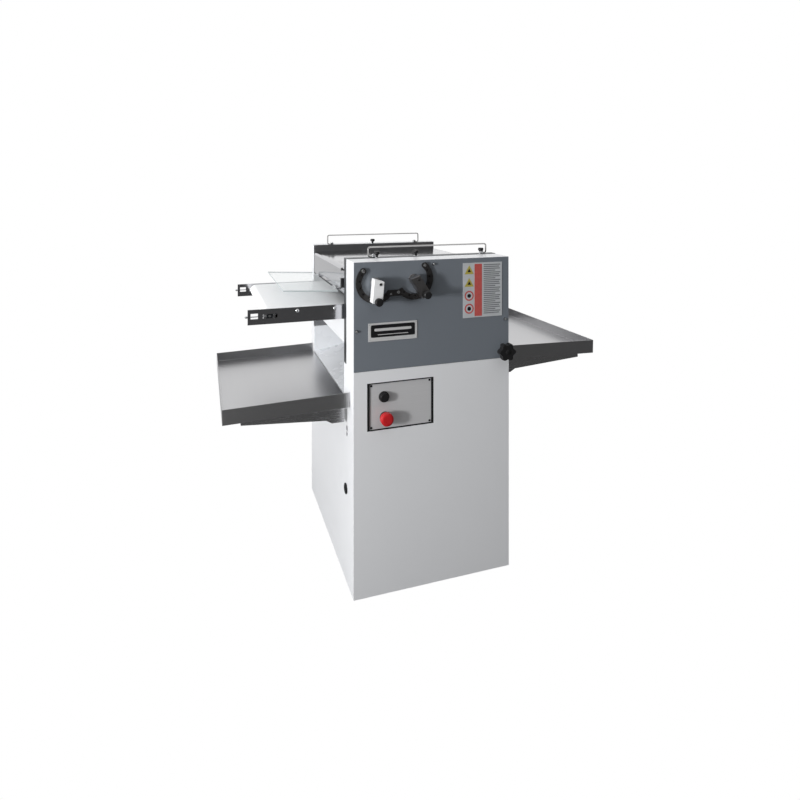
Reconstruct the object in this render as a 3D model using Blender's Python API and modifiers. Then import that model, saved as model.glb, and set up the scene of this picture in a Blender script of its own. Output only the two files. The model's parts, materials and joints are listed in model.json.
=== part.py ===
"""Two-stage dough sheeter: a floor cabinet, a roller head on top of it, an infeed belt and two hooked trays.

Metres, +Z up. The origin is the middle of the cabinet floor, on the ground. +X runs along the operator's
front face, from the infeed belt to the right tray, and +Y runs from the front face to the back.
"""

import math

import bmesh
import bpy
from mathutils import Matrix, Vector

# Driving dimensions
WIDTH = 0.530
DEPTH = 0.711
CABINET_TOP = 0.690
HEAD_TOP = 1.0250
REAR_TOP = 1.0215
LEFT = -WIDTH / 2
RIGHT = WIDTH / 2
FRONT = -DEPTH / 2
BACK = DEPTH / 2
GAP = 0.0003
SHEET = 0.0015
CABINET_SHEET = 0.002
FLOOR_SHEET = 0.004
PAST = 0.010

# Steel side plates that carry the rollers; the front one is dished, with a rim towards the front cover
PLATE = 0.008
COVER_BACK = FRONT + 0.094
FRONT_PLATE = FRONT + 0.118
REAR_PLATE = BACK - 0.053
INNER_FRONT = FRONT_PLATE + PLATE
INNER_REAR = REAR_PLATE
RIM = 0.004
RIM_PROUD = 0.0015
REAR_PLATE_INSET = 0.003
SPAN_CENTRE = (INNER_FRONT + INNER_REAR) / 2

# Roller pairs and the levers that set their gap
ROLLER_RADIUS = 0.032
JOURNAL_RADIUS = 0.010
RUNNING_CLEARANCE = 0.0004
LOWER_ROLLER_Z = 0.846
LEVER_X = (LEFT + 0.0693, LEFT + 0.1925)
LEVER_Z = (0.9610, 0.9667)
ROLLER_OFFSET = 0.024
ROLLER_X = tuple(x + ROLLER_OFFSET for x in LEVER_X)
ROLLER_FRONT = INNER_FRONT + 0.004
ROLLER_REAR = INNER_REAR - 0.004
CLOSED_GAP = 0.0005
GAP_TRAVEL = 0.0095
LEVER_HALF_SWING = math.radians(80)
LEVER_MIDDLE = (math.radians(230), math.radians(310))
LEVER_REST = (math.radians(265), math.radians(302.2))
LEVER_CLOSING = (1, -1)
ECCENTRIC_RADIUS = 0.012
ECCENTRIC_OFFSET = GAP_TRAVEL / 2 / math.sin(LEVER_HALF_SWING)
YOKE_CLEARANCE = 0.0013
YOKE_SIDE_CLEARANCE = 0.0008
LEVER_SHAFT_RADIUS = 0.007

# Bearing blocks of the upper rollers
BLOCK_THICKNESS = 0.008
BLOCK_WEB = 0.005
BLOCK_RIM = 0.009
FRONT_BLOCK = FRONT_PLATE - 0.001 - BLOCK_THICKNESS
REAR_BLOCK = REAR_PLATE + PLATE + 0.001

# Lever handles, their pull knobs and the indexed quadrant behind them
LEVER_FRONT = FRONT - 0.040
LEVER_THICKNESS = 0.032
LEVER_WIDTH = 0.0306
LEVER_ABOVE = (0.0150, 0.0085)
LEVER_BELOW = 0.058
PLUNGER_ARM = 0.0515
PLUNGER_RADIUS = 0.003
KNOB_RADIUS = 0.0125
QUADRANT_THICKNESS = 0.007
QUADRANT_FRONT = FRONT - GAP - QUADRANT_THICKNESS
QUADRANT_INNER = 0.0462
QUADRANT_OUTER = 0.0640
QUADRANT_TIP = (math.radians(42.1), math.radians(48.4))
QUADRANT_LOW = math.radians(-32)
INDEX_HOLES = 8
INDEX_DEPTH = 0.004
LUG_CENTRE = (LEFT + 0.130, 0.927)
LUG_HALF = 0.022
LUG_HEIGHT = 0.018

# Infeed belt
BELT_TOP = 0.873
BELT_THICKNESS = 0.002
NOSE_RADIUS = 0.0175
DRIVE_RADIUS = 0.020
DRIVE_JOURNAL = 0.008
NOSE = (LEFT - 0.2355, BELT_TOP - BELT_THICKNESS - NOSE_RADIUS)
DRIVE = (LEFT + 0.035, BELT_TOP - BELT_THICKNESS - DRIVE_RADIUS)
CONVEYOR_END = LEFT - 0.3025
CONVEYOR_INNER_END = LEFT + 0.055
CONVEYOR_PLATE = 0.005
CONVEYOR_BOTTOM = 0.829
CONVEYOR_TOP = 0.876
CONVEYOR_FRONT = INNER_FRONT + 0.0007
CONVEYOR_REAR = INNER_REAR - 0.0007 - CONVEYOR_PLATE
BELT_FRONT = CONVEYOR_FRONT + CONVEYOR_PLATE + 0.005
BELT_REAR = CONVEYOR_REAR - 0.005

# Belt tensioner at the nose
WINDOW = (LEFT - 0.2936, LEFT - 0.2714)
WINDOW_Z = 0.8552
WINDOW_HALF = 0.0085
SLOT = (LEFT - 0.2563, LEFT - 0.2120)
SLOT_HALF = 0.0065
NOSE_JOURNAL = 0.004
TENSION_BLOCK_HALF = 0.0095
TENSION_SCREW_RADIUS = 0.0018
TENSION_HEAD_RADIUS = 0.004

# Chain drive in the space behind the front cover
CHAIN_Y = FRONT + 0.079
SPROCKET_WIDTH = 0.010
SPROCKET_RADIUS = 0.028
SPROCKET_TEETH = 16
CONVEYOR_SPROCKET_RADIUS = 0.020
CONVEYOR_SPROCKET_TEETH = 12
CHAIN_THICKNESS = 0.006
CHAIN_CLEARANCE = 0.0006
MOTOR_AXIS = (LEFT + 0.150, 0.105)
GEARBOX_FRONT = FRONT + 0.120
GEARBOX_DEPTH = 0.130

# Long-tooth gears in the rear cover
GEAR_TEETH = 12
GEAR_OUTER = 0.0376
GEAR_ROOT = 0.0258
GEAR_FRONT = BACK - 0.032
GEAR_WIDTH = 0.012

# Hood, the clear guard hinged to its left lip and the switch that senses the guard
HOOD_TOP = 0.994
HOOD_LIP = 0.911
HOOD_RIGHT_LIP = 0.800
HOOD_BEND = 0.012
HOOD_FACE = LEFT + SHEET / 2
HINGE = (LEFT - 0.0055, 0.9135)
HINGE_RADIUS = 0.004
HINGE_PIN_RADIUS = 0.0015
HINGE_Y = (SPAN_CENTRE - 0.155, SPAN_CENTRE + 0.155)
KNUCKLE = 0.030
LUG = 0.010
GUARD_END = LEFT - 0.1895
GUARD_HALF_WIDTH = 0.233
GUARD_THICKNESS = 0.004
GUARD_TILT = math.radians(2.9)
SWITCH_Y = (FRONT + 0.140, FRONT + 0.150)
SWITCH_Z = (0.9265, 0.9580)
SWITCH_DEPTH = 0.007

# Trays
LEFT_TRAY_LENGTH = 0.3775
RIGHT_TRAY_LENGTH = 0.3607
TRAY_WIDTH = 0.630
TRAY_WALL = 0.0315
TRAY_SKIRT = 0.0145
TRAY_HEM = 0.008
TRAY_SLOPE = math.radians(1.43)
TRAY_CLEARANCE = 0.003
LEFT_TRAY_FLOOR = 0.5871
RIGHT_TRAY_FLOOR = 0.6857
HOOK_FROM_END = 0.088
HOOK_Y = (FRONT + HOOK_FROM_END, BACK - HOOK_FROM_END)
HOOK_THICKNESS = 0.012
ARM_WIDTH = 0.020
ARM_START = 0.0105
ARM_END = 0.326
CROSS_TUBE = 0.020

# Slots of the hooks in the cabinet's walls, as heights from the tray's floor; the lower two are spare
SLOT_WIDTH = 0.016
SLOT_HEIGHTS = ((-0.0228, -0.0020), (-0.1055, -0.0896), (-0.1214, -0.1096))

# The chute falls through the cabinet's top from the right tray's level to the left tray's
OPENING_BOTTOM = 0.586
CHUTE_LIP = 0.5875
CHUTE_HEAD = 0.6835
RIGHT_WALL_TOP = 0.6795
CHUTE_FRONT = INNER_FRONT + 0.0020
CHUTE_REAR = INNER_REAR - 0.0010

# Cable inlet
GLAND = (LEFT, FRONT + 0.095, 0.2955)
GLAND_FLANGE_RADIUS = 0.0165
GLAND_RADIUS = 0.0135
GLAND_HOLE_RADIUS = 0.014
GLAND_RECESS_RADIUS = 0.006

# Rails, knob and plates
RAIL_RADIUS = 0.0025
RAIL_TOP = 1.0595
RAIL_TOE = 0.018
FRONT_RAIL = (LEFT + 0.0754, LEFT + 0.4984)
FRONT_RAIL_Y = FRONT + 0.106
REAR_RAIL = (LEFT + 0.057, LEFT + 0.455)
STAR_KNOB = (LEFT + 0.5085, 0.7165)
STUD_RADIUS = 0.004
KNOB_LOBES = 6
NAMEPLATE = ((LEFT + 0.0457, 0.7805), (LEFT + 0.2047, 0.8365))
PLACARD = ((LEFT + 0.3625, 0.8313), (LEFT + 0.5040, 1.0090))

# Controls
CONTROL_LEFT = LEFT + 0.0428
CONTROL_RIGHT = LEFT + 0.2611
CONTROL_LOW = 0.5060
CONTROL_HIGH = 0.6528
CONTROL_SIDE_BORDER = 0.0075
CONTROL_END_BORDER = 0.0035
PUSH_BUTTON = (LEFT + 0.0960, 0.6080)
ESTOP = (LEFT + 0.0996, 0.5446)
BUTTON_STEM = 0.009
BUTTON_RADIUS = 0.0135
ESTOP_RADIUS = 0.020

COLOURS = {
    "white_paint": ((0.80, 0.81, 0.83), 0.35, 0.0),
    "grey_paint": ((0.11, 0.12, 0.14), 0.45, 0.0),
    "steel": ((0.45, 0.45, 0.46), 0.30, 1.0),
    "dark_steel": ((0.16, 0.16, 0.17), 0.30, 1.0),
    "belt": ((0.78, 0.80, 0.82), 0.65, 0.0),
    "black_plastic": ((0.01, 0.01, 0.01), 0.40, 0.0),
    "red_plastic": ((0.45, 0.02, 0.02), 0.35, 0.0),
    "label": ((0.70, 0.72, 0.74), 0.50, 0.0),
    "guard": ((0.85, 0.90, 0.92), 0.10, 0.0),
    "motor": ((0.10, 0.13, 0.17), 0.50, 0.0),
}


def clear_scene():
    for old in list(bpy.data.objects):
        bpy.data.objects.remove(old, do_unlink=True)


def make_collection():
    collection = bpy.data.collections.new("dough_sheeter")
    bpy.context.scene.collection.children.link(collection)
    return collection


def make_materials():
    materials = {}
    for name, (colour, roughness, metallic) in COLOURS.items():
        material = bpy.data.materials.new(name)
        material.use_nodes = True
        shader = material.node_tree.nodes["Principled BSDF"]
        shader.inputs["Base Color"].default_value = (*colour, 1.0)
        shader.inputs["Roughness"].default_value = roughness
        shader.inputs["Metallic"].default_value = metallic
        materials[name] = material
    return materials


clear_scene()
PARTS = make_collection()
MATERIALS = make_materials()


# ---------------------------------------------------------------- modelling helpers


def add_object(name, data):
    piece = bpy.data.objects.new(name, data)
    PARTS.objects.link(piece)
    return piece


def mesh_object(name, bm):
    mesh = bpy.data.meshes.new(name)
    bmesh.ops.recalc_face_normals(bm, faces=bm.faces)
    if bm.calc_volume(signed=True) < 0:
        bmesh.ops.reverse_faces(bm, faces=bm.faces)
    bm.to_mesh(mesh)
    bm.free()
    return add_object(name, mesh)


def freeze(piece):
    """Turns a curve, or a mesh with modifiers, into one plain closed mesh in world space."""
    bpy.context.view_layer.update()
    evaluated = piece.evaluated_get(bpy.context.evaluated_depsgraph_get())
    mesh = bpy.data.meshes.new_from_object(evaluated)
    mesh.transform(piece.matrix_world)
    name = piece.name
    bpy.data.objects.remove(piece, do_unlink=True)
    bm = bmesh.new()
    bm.from_mesh(mesh)
    bpy.data.meshes.remove(mesh)
    bmesh.ops.remove_doubles(bm, verts=bm.verts, dist=1e-6)
    return mesh_object(name, bm)


def box(name, low, high):
    bm = bmesh.new()
    bmesh.ops.create_cube(bm, size=1.0)
    low, high = Vector(low), Vector(high)
    size = high - low
    middle = (low + high) / 2
    for vertex in bm.verts:
        vertex.co = middle + Vector(c * s for c, s in zip(vertex.co, size))
    return mesh_object(name, bm)


def rod(name, start, end, radius, sides=24):
    """A plain cylinder between two points."""
    start, end = Vector(start), Vector(end)
    along = end - start
    bm = bmesh.new()
    bmesh.ops.create_cone(
        bm, cap_ends=True, segments=sides, radius1=radius, radius2=radius, depth=along.length
    )
    turn = along.to_track_quat("Z", "Y").to_matrix().to_4x4()
    bm.transform(Matrix.Translation((start + end) / 2) @ turn)
    return mesh_object(name, bm)


def crosswise_rod(name, centre, y_from, y_to, radius, sides=24):
    """A cylinder along Y at (x, z)."""
    x, z = centre
    return rod(name, (x, y_from, z), (x, y_to, z), radius, sides)


def turned(name, centre, stations, sides=28):
    """A turned piece about an axis along Y at (x, z); stations are (y, radius), from front to rear."""
    x, z = centre
    first, last = stations[0][0], stations[-1][0]
    profile = [(first, 0.0), *stations, (last, 0.0)]
    bm = bmesh.new()
    vertices = [bm.verts.new((radius, y, 0.0)) for y, radius in profile]
    for a, b in zip(vertices, vertices[1:]):
        bm.edges.new((a, b))
    mesh = bpy.data.meshes.new(name)
    bm.to_mesh(mesh)
    bm.free()
    piece = add_object(name, mesh)
    piece.location = (x, 0.0, z)
    screw = piece.modifiers.new("Turn", "SCREW")
    screw.axis = "Y"
    screw.steps = sides
    screw.render_steps = sides
    screw.use_merge_vertices = True
    screw.merge_threshold = 0.00001
    return freeze(piece)


def flat_piece(name, outline, y_from, y_to):
    """A flat plate whose (x, z) outline stands across Y."""
    curve = bpy.data.curves.new(name, "CURVE")
    curve.dimensions = "2D"
    curve.fill_mode = "BOTH"
    curve.extrude = (y_to - y_from) / 2
    spline = curve.splines.new("POLY")
    spline.points.add(len(outline) - 1)
    spline.use_cyclic_u = True
    for point, (x, z) in zip(spline.points, outline):
        point.co = (x, z, 0.0, 1.0)
    piece = add_object(name, curve)
    piece.rotation_euler = (math.radians(90), 0.0, 0.0)
    piece.location = (0.0, (y_from + y_to) / 2, 0.0)
    return freeze(piece)


def bent_sheet(name, path, thickness, y_from, y_to):
    """A sheet folded along an (x, z) path, centred on the path."""
    bm = bmesh.new()
    near = [bm.verts.new((x, y_from, z)) for x, z in path]
    edges = [bm.edges.new(pair) for pair in zip(near, near[1:])]
    swept = bmesh.ops.extrude_edge_only(bm, edges=edges)
    moved = [item for item in swept["geom"] if isinstance(item, bmesh.types.BMVert)]
    bmesh.ops.translate(bm, verts=moved, vec=(0.0, y_to - y_from, 0.0))
    piece = mesh_object(name, bm)
    solidify = piece.modifiers.new("Thickness", "SOLIDIFY")
    solidify.thickness = thickness
    solidify.offset = 0.0
    solidify.use_even_offset = True
    return freeze(piece)


def wire(name, path, radius):
    curve = bpy.data.curves.new(name, "CURVE")
    curve.dimensions = "3D"
    curve.bevel_depth = radius
    curve.bevel_resolution = 2
    curve.use_fill_caps = True
    spline = curve.splines.new("POLY")
    spline.points.add(len(path) - 1)
    for point, place in zip(spline.points, path):
        point.co = (*place, 1.0)
    return freeze(add_object(name, curve))


def boolean(piece, other, operation):
    name = piece.name
    modifier = piece.modifiers.new(operation.title(), "BOOLEAN")
    modifier.operation = operation
    modifier.object = other
    modifier.solver = "EXACT"
    result = freeze(piece)
    bpy.data.objects.remove(other, do_unlink=True)
    result.name = name
    return result


def cut(piece, *cutters):
    for cutter in cutters:
        piece = boolean(piece, cutter, "DIFFERENCE")
    return piece


def join(piece, *others):
    for other in others:
        piece = boolean(piece, other, "UNION")
    return piece


def finish(piece, material, pivot=None, smooth=False):
    """Gives a piece its material and puts its origin on its joint's axis."""
    piece.data.materials.clear()
    piece.data.materials.append(MATERIALS[material])
    if pivot is not None:
        place = Vector(pivot)
        piece.data.transform(Matrix.Translation(-place))
        piece.location = place
    if smooth:
        piece.data.shade_smooth()
        piece.data.set_sharp_from_angle(angle=math.radians(35))
    return piece


def arc(centre, radius, start, end, steps):
    """Points on an arc in the (x, z) plane, angles in radians seen from the front."""
    x, z = centre
    angles = [start + (end - start) * step / steps for step in range(steps + 1)]
    return [(x + radius * math.cos(a), z + radius * math.sin(a)) for a in angles]


def rounded(path, radius, steps=4):
    """The open path with each inner corner replaced by an arc of short chords."""
    points = [Vector(p) for p in path]
    result = [tuple(points[0])]
    for before, corner, after in zip(points, points[1:], points[2:]):
        arrive = (before - corner).normalized()
        leave = (after - corner).normalized()
        half = arrive.angle(leave) / 2
        reach = radius / math.tan(half)
        start, end = corner + arrive * reach, corner + leave * reach
        middle = corner + (arrive + leave).normalized() * (radius / math.sin(half))
        for step in range(steps + 1):
            blend = start.lerp(end, step / steps) - middle
            result.append(tuple(middle + blend.normalized() * radius))
    result.append(tuple(points[-1]))
    return result


def around_circles(circles, offset, steps=24):
    """The outline of a belt stretched round circles (x, z, radius), moved outwards by offset."""
    points = []
    for x, z, radius in circles:
        points.extend(arc((x, z), radius + offset, 0.0, 2 * math.pi * (1 - 1 / steps), steps - 1))
    points.sort()

    def half_hull(ordered):
        hull = []
        for p in ordered:
            while len(hull) > 1:
                (ax, az), (bx, bz) = hull[-2], hull[-1]
                if (bx - ax) * (p[1] - az) - (bz - az) * (p[0] - ax) > 1e-12:
                    break
                hull.pop()
            hull.append(p)
        return hull[:-1]

    return half_hull(points) + half_hull(points[::-1])


def loop_piece(name, circles, thickness, y_from, y_to, clearance=0.0, steps=24):
    """A belt or chain as one closed band round the circles."""
    outer = flat_piece(name, around_circles(circles, clearance + thickness, steps), y_from, y_to)
    inner = flat_piece("inside", around_circles(circles, clearance, steps), y_from - PAST, y_to + PAST)
    return cut(outer, inner)


def toothed_wheel(name, centre, teeth, root, outer, y_from, y_to, phase):
    """A wheel whose teeth narrow from root to tip; phase is the angle of one tooth."""
    pitch = 2 * math.pi / teeth
    outline = []
    for tooth in range(teeth):
        middle = phase + tooth * pitch
        for turn, radius in ((-0.30, root), (-0.09, outer), (0.09, outer), (0.30, root)):
            angle = middle + turn * pitch
            outline.append((centre[0] + radius * math.cos(angle), centre[1] + radius * math.sin(angle)))
    return flat_piece(name, outline, y_from, y_to)


# ---------------------------------------------------------------- cabinet


def hook_slots(wall_x, floor_z):
    """The slots that take both hooks of a tray frame, in one wall of the cabinet."""
    half = SLOT_WIDTH / 2
    return [
        box("slot", (wall_x - PAST, y - half, floor_z + low), (wall_x + PAST, y + half, floor_z + high))
        for y in HOOK_Y
        for low, high in SLOT_HEIGHTS
    ]


def cabinet_shell():
    shell = box("cabinet_shell", (LEFT, FRONT, 0.0), (RIGHT, BACK - 0.0023, CABINET_TOP))
    hollow = box(
        "hollow",
        (LEFT + CABINET_SHEET, FRONT + CABINET_SHEET, -PAST),
        (RIGHT - CABINET_SHEET, BACK + PAST, CABINET_TOP - CABINET_SHEET),
    )
    near, far = CHUTE_FRONT - 0.0005, CHUTE_REAR + 0.0005
    past_top = CABINET_TOP + PAST
    window = box("window", (LEFT - PAST, near, OPENING_BOTTOM), (LEFT + PAST, far, past_top))
    passage = box("passage", (LEFT - PAST, near, RIGHT_WALL_TOP), (RIGHT + PAST, far, past_top))
    chain_passage = box(
        "chain_passage",
        (LEFT + 0.025, CHAIN_Y - 0.015, CABINET_TOP - PAST),
        (LEFT + 0.262, CHAIN_Y + 0.015, past_top),
    )
    control_opening = box(
        "control_opening",
        (CONTROL_LEFT, FRONT - PAST, CONTROL_LOW),
        (CONTROL_RIGHT, FRONT + PAST, CONTROL_HIGH),
    )
    x, y, z = GLAND
    gland_hole = rod("gland_hole", (x - PAST, y, z), (x + PAST, y, z), GLAND_HOLE_RADIUS)
    shell = cut(shell, hollow, window, passage, chain_passage, control_opening, gland_hole)
    shell = cut(shell, *hook_slots(LEFT, LEFT_TRAY_FLOOR), *hook_slots(RIGHT, RIGHT_TRAY_FLOOR))
    return finish(shell, "white_paint")


def cabinet_floor():
    inset = CABINET_SHEET + GAP
    floor = box(
        "cabinet_floor", (LEFT + inset, FRONT + inset, 0.0), (RIGHT - inset, BACK - 0.0026, FLOOR_SHEET)
    )
    return finish(floor, "white_paint")


def cabinet_back():
    back = box("cabinet_back", (LEFT, BACK - CABINET_SHEET, 0.0), (RIGHT, BACK, CABINET_TOP))
    return finish(back, "white_paint")


def cable_gland():
    """The round cable inlet low on the left side, its seal still closed."""
    x, y, z = GLAND
    flange = rod("cable_gland", (x - 0.004, y, z), (x - GAP, y, z), GLAND_FLANGE_RADIUS)
    barrel = rod("barrel", (x - 0.003, y, z), (x + 0.016, y, z), GLAND_RADIUS)
    recess = rod("recess", (x - PAST, y, z), (x + 0.004, y, z), GLAND_RECESS_RADIUS, 16)
    return finish(cut(join(flange, barrel), recess), "black_plastic")


def discharge_chute():
    """The slide under the rollers, from the right tray down to the left one, with its two side walls."""
    path = ((LEFT + 0.001, CHUTE_LIP), (RIGHT - 0.001, CHUTE_HEAD))
    slide = bent_sheet("discharge_chute", path, SHEET, CHUTE_FRONT, CHUTE_REAR)
    overlap = 0.0003
    walls = [
        box("wall", (LEFT + 0.001, y, OPENING_BOTTOM), (RIGHT - 0.003, y + SHEET, CABINET_TOP - 0.001))
        for y in (CHUTE_FRONT - overlap, CHUTE_REAR - SHEET + overlap)
    ]
    return finish(join(slide, *walls), "white_paint")


# ---------------------------------------------------------------- head frame


def plate_openings(y_from, y_to):
    """The bores and slots that one side plate needs, as cutters."""
    cutters = []
    for centre, roller_x in zip(lever_axes(), ROLLER_X):
        cutters.append(
            crosswise_rod("lever_bore", centre, y_from, y_to, LEVER_SHAFT_RADIUS + RUNNING_CLEARANCE)
        )
        cutters.append(
            crosswise_rod(
                "roller_bore", (roller_x, LOWER_ROLLER_Z), y_from, y_to, JOURNAL_RADIUS + RUNNING_CLEARANCE
            )
        )
        half = JOURNAL_RADIUS + 0.0015
        low = upper_roller_z(-GAP_TRAVEL / 2) - half
        high = upper_roller_z(GAP_TRAVEL / 2) + half
        cutters.append(box("gap_slot", (roller_x - half, y_from, low), (roller_x + half, y_to, high)))
    cutters.append(crosswise_rod("belt_bore", DRIVE, y_from, y_to, DRIVE_JOURNAL + RUNNING_CLEARANCE))
    return cutters


def lever_axes():
    return list(zip(LEVER_X, LEVER_Z))


def upper_roller_z(shift):
    """The upper rollers' height, shift being measured from the middle of the gap's travel."""
    return LOWER_ROLLER_Z + 2 * ROLLER_RADIUS + CLOSED_GAP + GAP_TRAVEL / 2 + shift


def rest_shift(stage):
    """How far the upper roller stands from the middle of its travel with the lever at rest."""
    turned_by = LEVER_REST[stage] - LEVER_MIDDLE[stage]
    return -LEVER_CLOSING[stage] * turned_by * (GAP_TRAVEL / 2) / LEVER_HALF_SWING


def front_side_plate():
    """The dished plate behind the front cover: a web with a rim along its top and both ends."""
    top = HEAD_TOP + RIM_PROUD
    y_to = FRONT_PLATE + PLATE
    plate = box("front_side_plate", (LEFT, COVER_BACK, CABINET_TOP + GAP), (RIGHT, y_to, top))
    dish = box(
        "dish", (LEFT + RIM, COVER_BACK - PAST, CABINET_TOP - PAST), (RIGHT - RIM, FRONT_PLATE, top - RIM)
    )
    plate = cut(plate, dish, *plate_openings(FRONT_PLATE - PAST, y_to + PAST))
    return finish(plate, "dark_steel")


def rear_side_plate():
    plate = box(
        "rear_side_plate",
        (LEFT + REAR_PLATE_INSET, REAR_PLATE, CABINET_TOP + GAP),
        (RIGHT - REAR_PLATE_INSET, REAR_PLATE + PLATE, REAR_TOP - 0.001),
    )
    plate = cut(plate, *plate_openings(REAR_PLATE - PAST, REAR_PLATE + PLATE + PAST))
    return finish(plate, "steel")


def front_cover():
    """The white box on the front side plate's rim; its bottom is open for the chain."""
    y_from = FRONT + 0.0023
    cover = box("front_cover", (LEFT, y_from, CABINET_TOP + GAP), (RIGHT, COVER_BACK - GAP, HEAD_TOP))
    hollow = box(
        "hollow",
        (LEFT + SHEET, y_from + SHEET, CABINET_TOP - PAST),
        (RIGHT - SHEET, COVER_BACK + PAST, HEAD_TOP - SHEET),
    )
    return finish(cut(cover, hollow, *panel_holes()), "white_paint")


def front_panel():
    """The grey face of the front cover."""
    inset = 0.0008
    panel = box(
        "front_panel",
        (LEFT + inset, FRONT, CABINET_TOP + inset),
        (RIGHT - inset, FRONT + 0.002, HEAD_TOP - inset),
    )
    return finish(cut(panel, *panel_holes()), "grey_paint")


def panel_holes():
    """The holes for the lever shafts and for the star knob's stud."""
    holes = [
        crosswise_rod("lever_hole", centre, FRONT - PAST, FRONT + PAST, LEVER_SHAFT_RADIUS + 0.001)
        for centre in lever_axes()
    ]
    holes.append(crosswise_rod("stud_hole", STAR_KNOB, FRONT - PAST, FRONT + PAST, STUD_RADIUS + 0.0006, 16))
    return holes


def rear_cover():
    cover = box("rear_cover", (LEFT, REAR_PLATE + PLATE + GAP, CABINET_TOP + GAP), (RIGHT, BACK, REAR_TOP))
    hollow = box(
        "hollow",
        (LEFT + SHEET, REAR_PLATE, CABINET_TOP - PAST),
        (RIGHT - SHEET, BACK - SHEET, REAR_TOP - SHEET),
    )
    return finish(cut(cover, hollow), "white_paint")


def hood():
    """The polished sheet over the rollers: left lip above the belt, flat top, right side above the tray."""
    near, far = INNER_FRONT + 0.0005, INNER_REAR - 0.0005
    half = SHEET / 2
    left, right, top = HOOD_FACE + half, -HOOD_FACE - half, HOOD_TOP - half
    path = rounded(((left, HOOD_LIP), (left, top), (right, top), (right, HOOD_RIGHT_LIP)), HOOD_BEND)
    piece = bent_sheet("hood", path, SHEET, near, far)
    return finish(join(piece, *hinge_lugs()), "steel")


def hinge_lugs():
    """Two bored lugs beside each knuckle of the guard."""
    x, z = HINGE
    lugs = []
    for middle in HINGE_Y:
        for side in (-1, 1):
            inner = middle + side * (KNUCKLE / 2 + 0.0005)
            outer = inner + side * LUG
            low, high = sorted((inner, outer))
            lug = crosswise_rod("lug", HINGE, low, high, HINGE_RADIUS, 16)
            web = box("web", (x, low, z - 0.003), (HOOD_FACE + 0.0005, high, z + 0.003))
            bore = crosswise_rod("bore", HINGE, low - PAST, high + PAST, HINGE_PIN_RADIUS + 0.0004, 12)
            lugs.append(cut(join(lug, web), bore))
    return lugs


def infeed_guard():
    """The clear plate that keeps fingers off the belt; it rises outwards and swings up on two knuckles."""
    x, z = HINGE
    near, far = SPAN_CENTRE - GUARD_HALF_WIDTH, SPAN_CENTRE + GUARD_HALF_WIDTH
    half = GUARD_THICKNESS / 2
    reach = LUG * 0.8
    guard = box("infeed_guard", (GUARD_END, near, z - half), (x - 0.006, far, z + half))
    for middle in HINGE_Y:
        low, high = middle - KNUCKLE / 2, middle + KNUCKLE / 2
        guard = join(
            guard,
            box("tab", (x - 0.010, low, z - half), (x, high, z + half)),
            crosswise_rod("knuckle", HINGE, low, high, HINGE_RADIUS, 16),
            crosswise_rod("pin", HINGE, low - reach, high + reach, HINGE_PIN_RADIUS, 12),
        )
    tilt_about(guard, (x, SPAN_CENTRE, z), GUARD_TILT)
    return finish(guard, "guard", (x, SPAN_CENTRE, z))


def guard_switch():
    """The small black switch on the hood's left face, beside the guard."""
    x_to = HOOD_FACE - GAP
    switch = box(
        "guard_switch", (x_to - SWITCH_DEPTH, SWITCH_Y[0], SWITCH_Z[0]), (x_to, SWITCH_Y[1], SWITCH_Z[1])
    )
    return finish(switch, "black_plastic")


def left_skirt():
    """The white panel under the infeed belt, above the discharge opening."""
    skirt = box(
        "left_skirt",
        (LEFT + 0.001, INNER_FRONT + 0.0005, 0.751),
        (LEFT + 0.001 + SHEET, INNER_REAR - 0.0005, 0.826),
    )
    return finish(skirt, "white_paint")


def tie_bar():
    """The round spacer that holds the side plates apart."""
    bar = crosswise_rod("tie_bar", (RIGHT - 0.060, 0.935), INNER_FRONT + GAP, INNER_REAR - GAP, 0.010)
    return finish(bar, "steel", smooth=True)


# ---------------------------------------------------------------- infeed conveyor


def conveyor_plate(name, y_from):
    """One side of the belt's frame, with a window near its end and the tensioner's slot."""
    y_to = y_from + CONVEYOR_PLATE
    near, far = y_from - PAST, y_to + PAST
    middle = (y_from + y_to) / 2
    plate = box(name, (CONVEYOR_END, y_from, CONVEYOR_BOTTOM), (CONVEYOR_INNER_END, y_to, CONVEYOR_TOP))
    window = box(
        "window", (WINDOW[0], near, WINDOW_Z - WINDOW_HALF), (WINDOW[1], far, WINDOW_Z + WINDOW_HALF)
    )
    slot = box("slot", (SLOT[0], near, NOSE[1] - SLOT_HALF), (SLOT[1], far, NOSE[1] + SLOT_HALF))
    bore = crosswise_rod("bore", DRIVE, near, far, DRIVE_JOURNAL + RUNNING_CLEARANCE)
    screw_hole = rod(
        "screw_hole",
        (CONVEYOR_END - PAST, middle, NOSE[1]),
        (SLOT[0] + 0.002, middle, NOSE[1]),
        TENSION_SCREW_RADIUS + GAP,
        12,
    )
    return finish(cut(plate, window, slot, bore, screw_hole), "steel")


def tension_block(name, plate_y):
    """The sliding block that carries one end of the nose roller."""
    proud = 0.0006
    block = box(
        name,
        (NOSE[0] - TENSION_BLOCK_HALF, plate_y - proud, NOSE[1] - SLOT_HALF + GAP),
        (NOSE[0] + TENSION_BLOCK_HALF, plate_y + CONVEYOR_PLATE + proud, NOSE[1] + SLOT_HALF - GAP),
    )
    bore = crosswise_rod(
        "bore", NOSE, plate_y - PAST, plate_y + CONVEYOR_PLATE + PAST, NOSE_JOURNAL + RUNNING_CLEARANCE, 20
    )
    return finish(cut(block, bore), "dark_steel")


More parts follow.
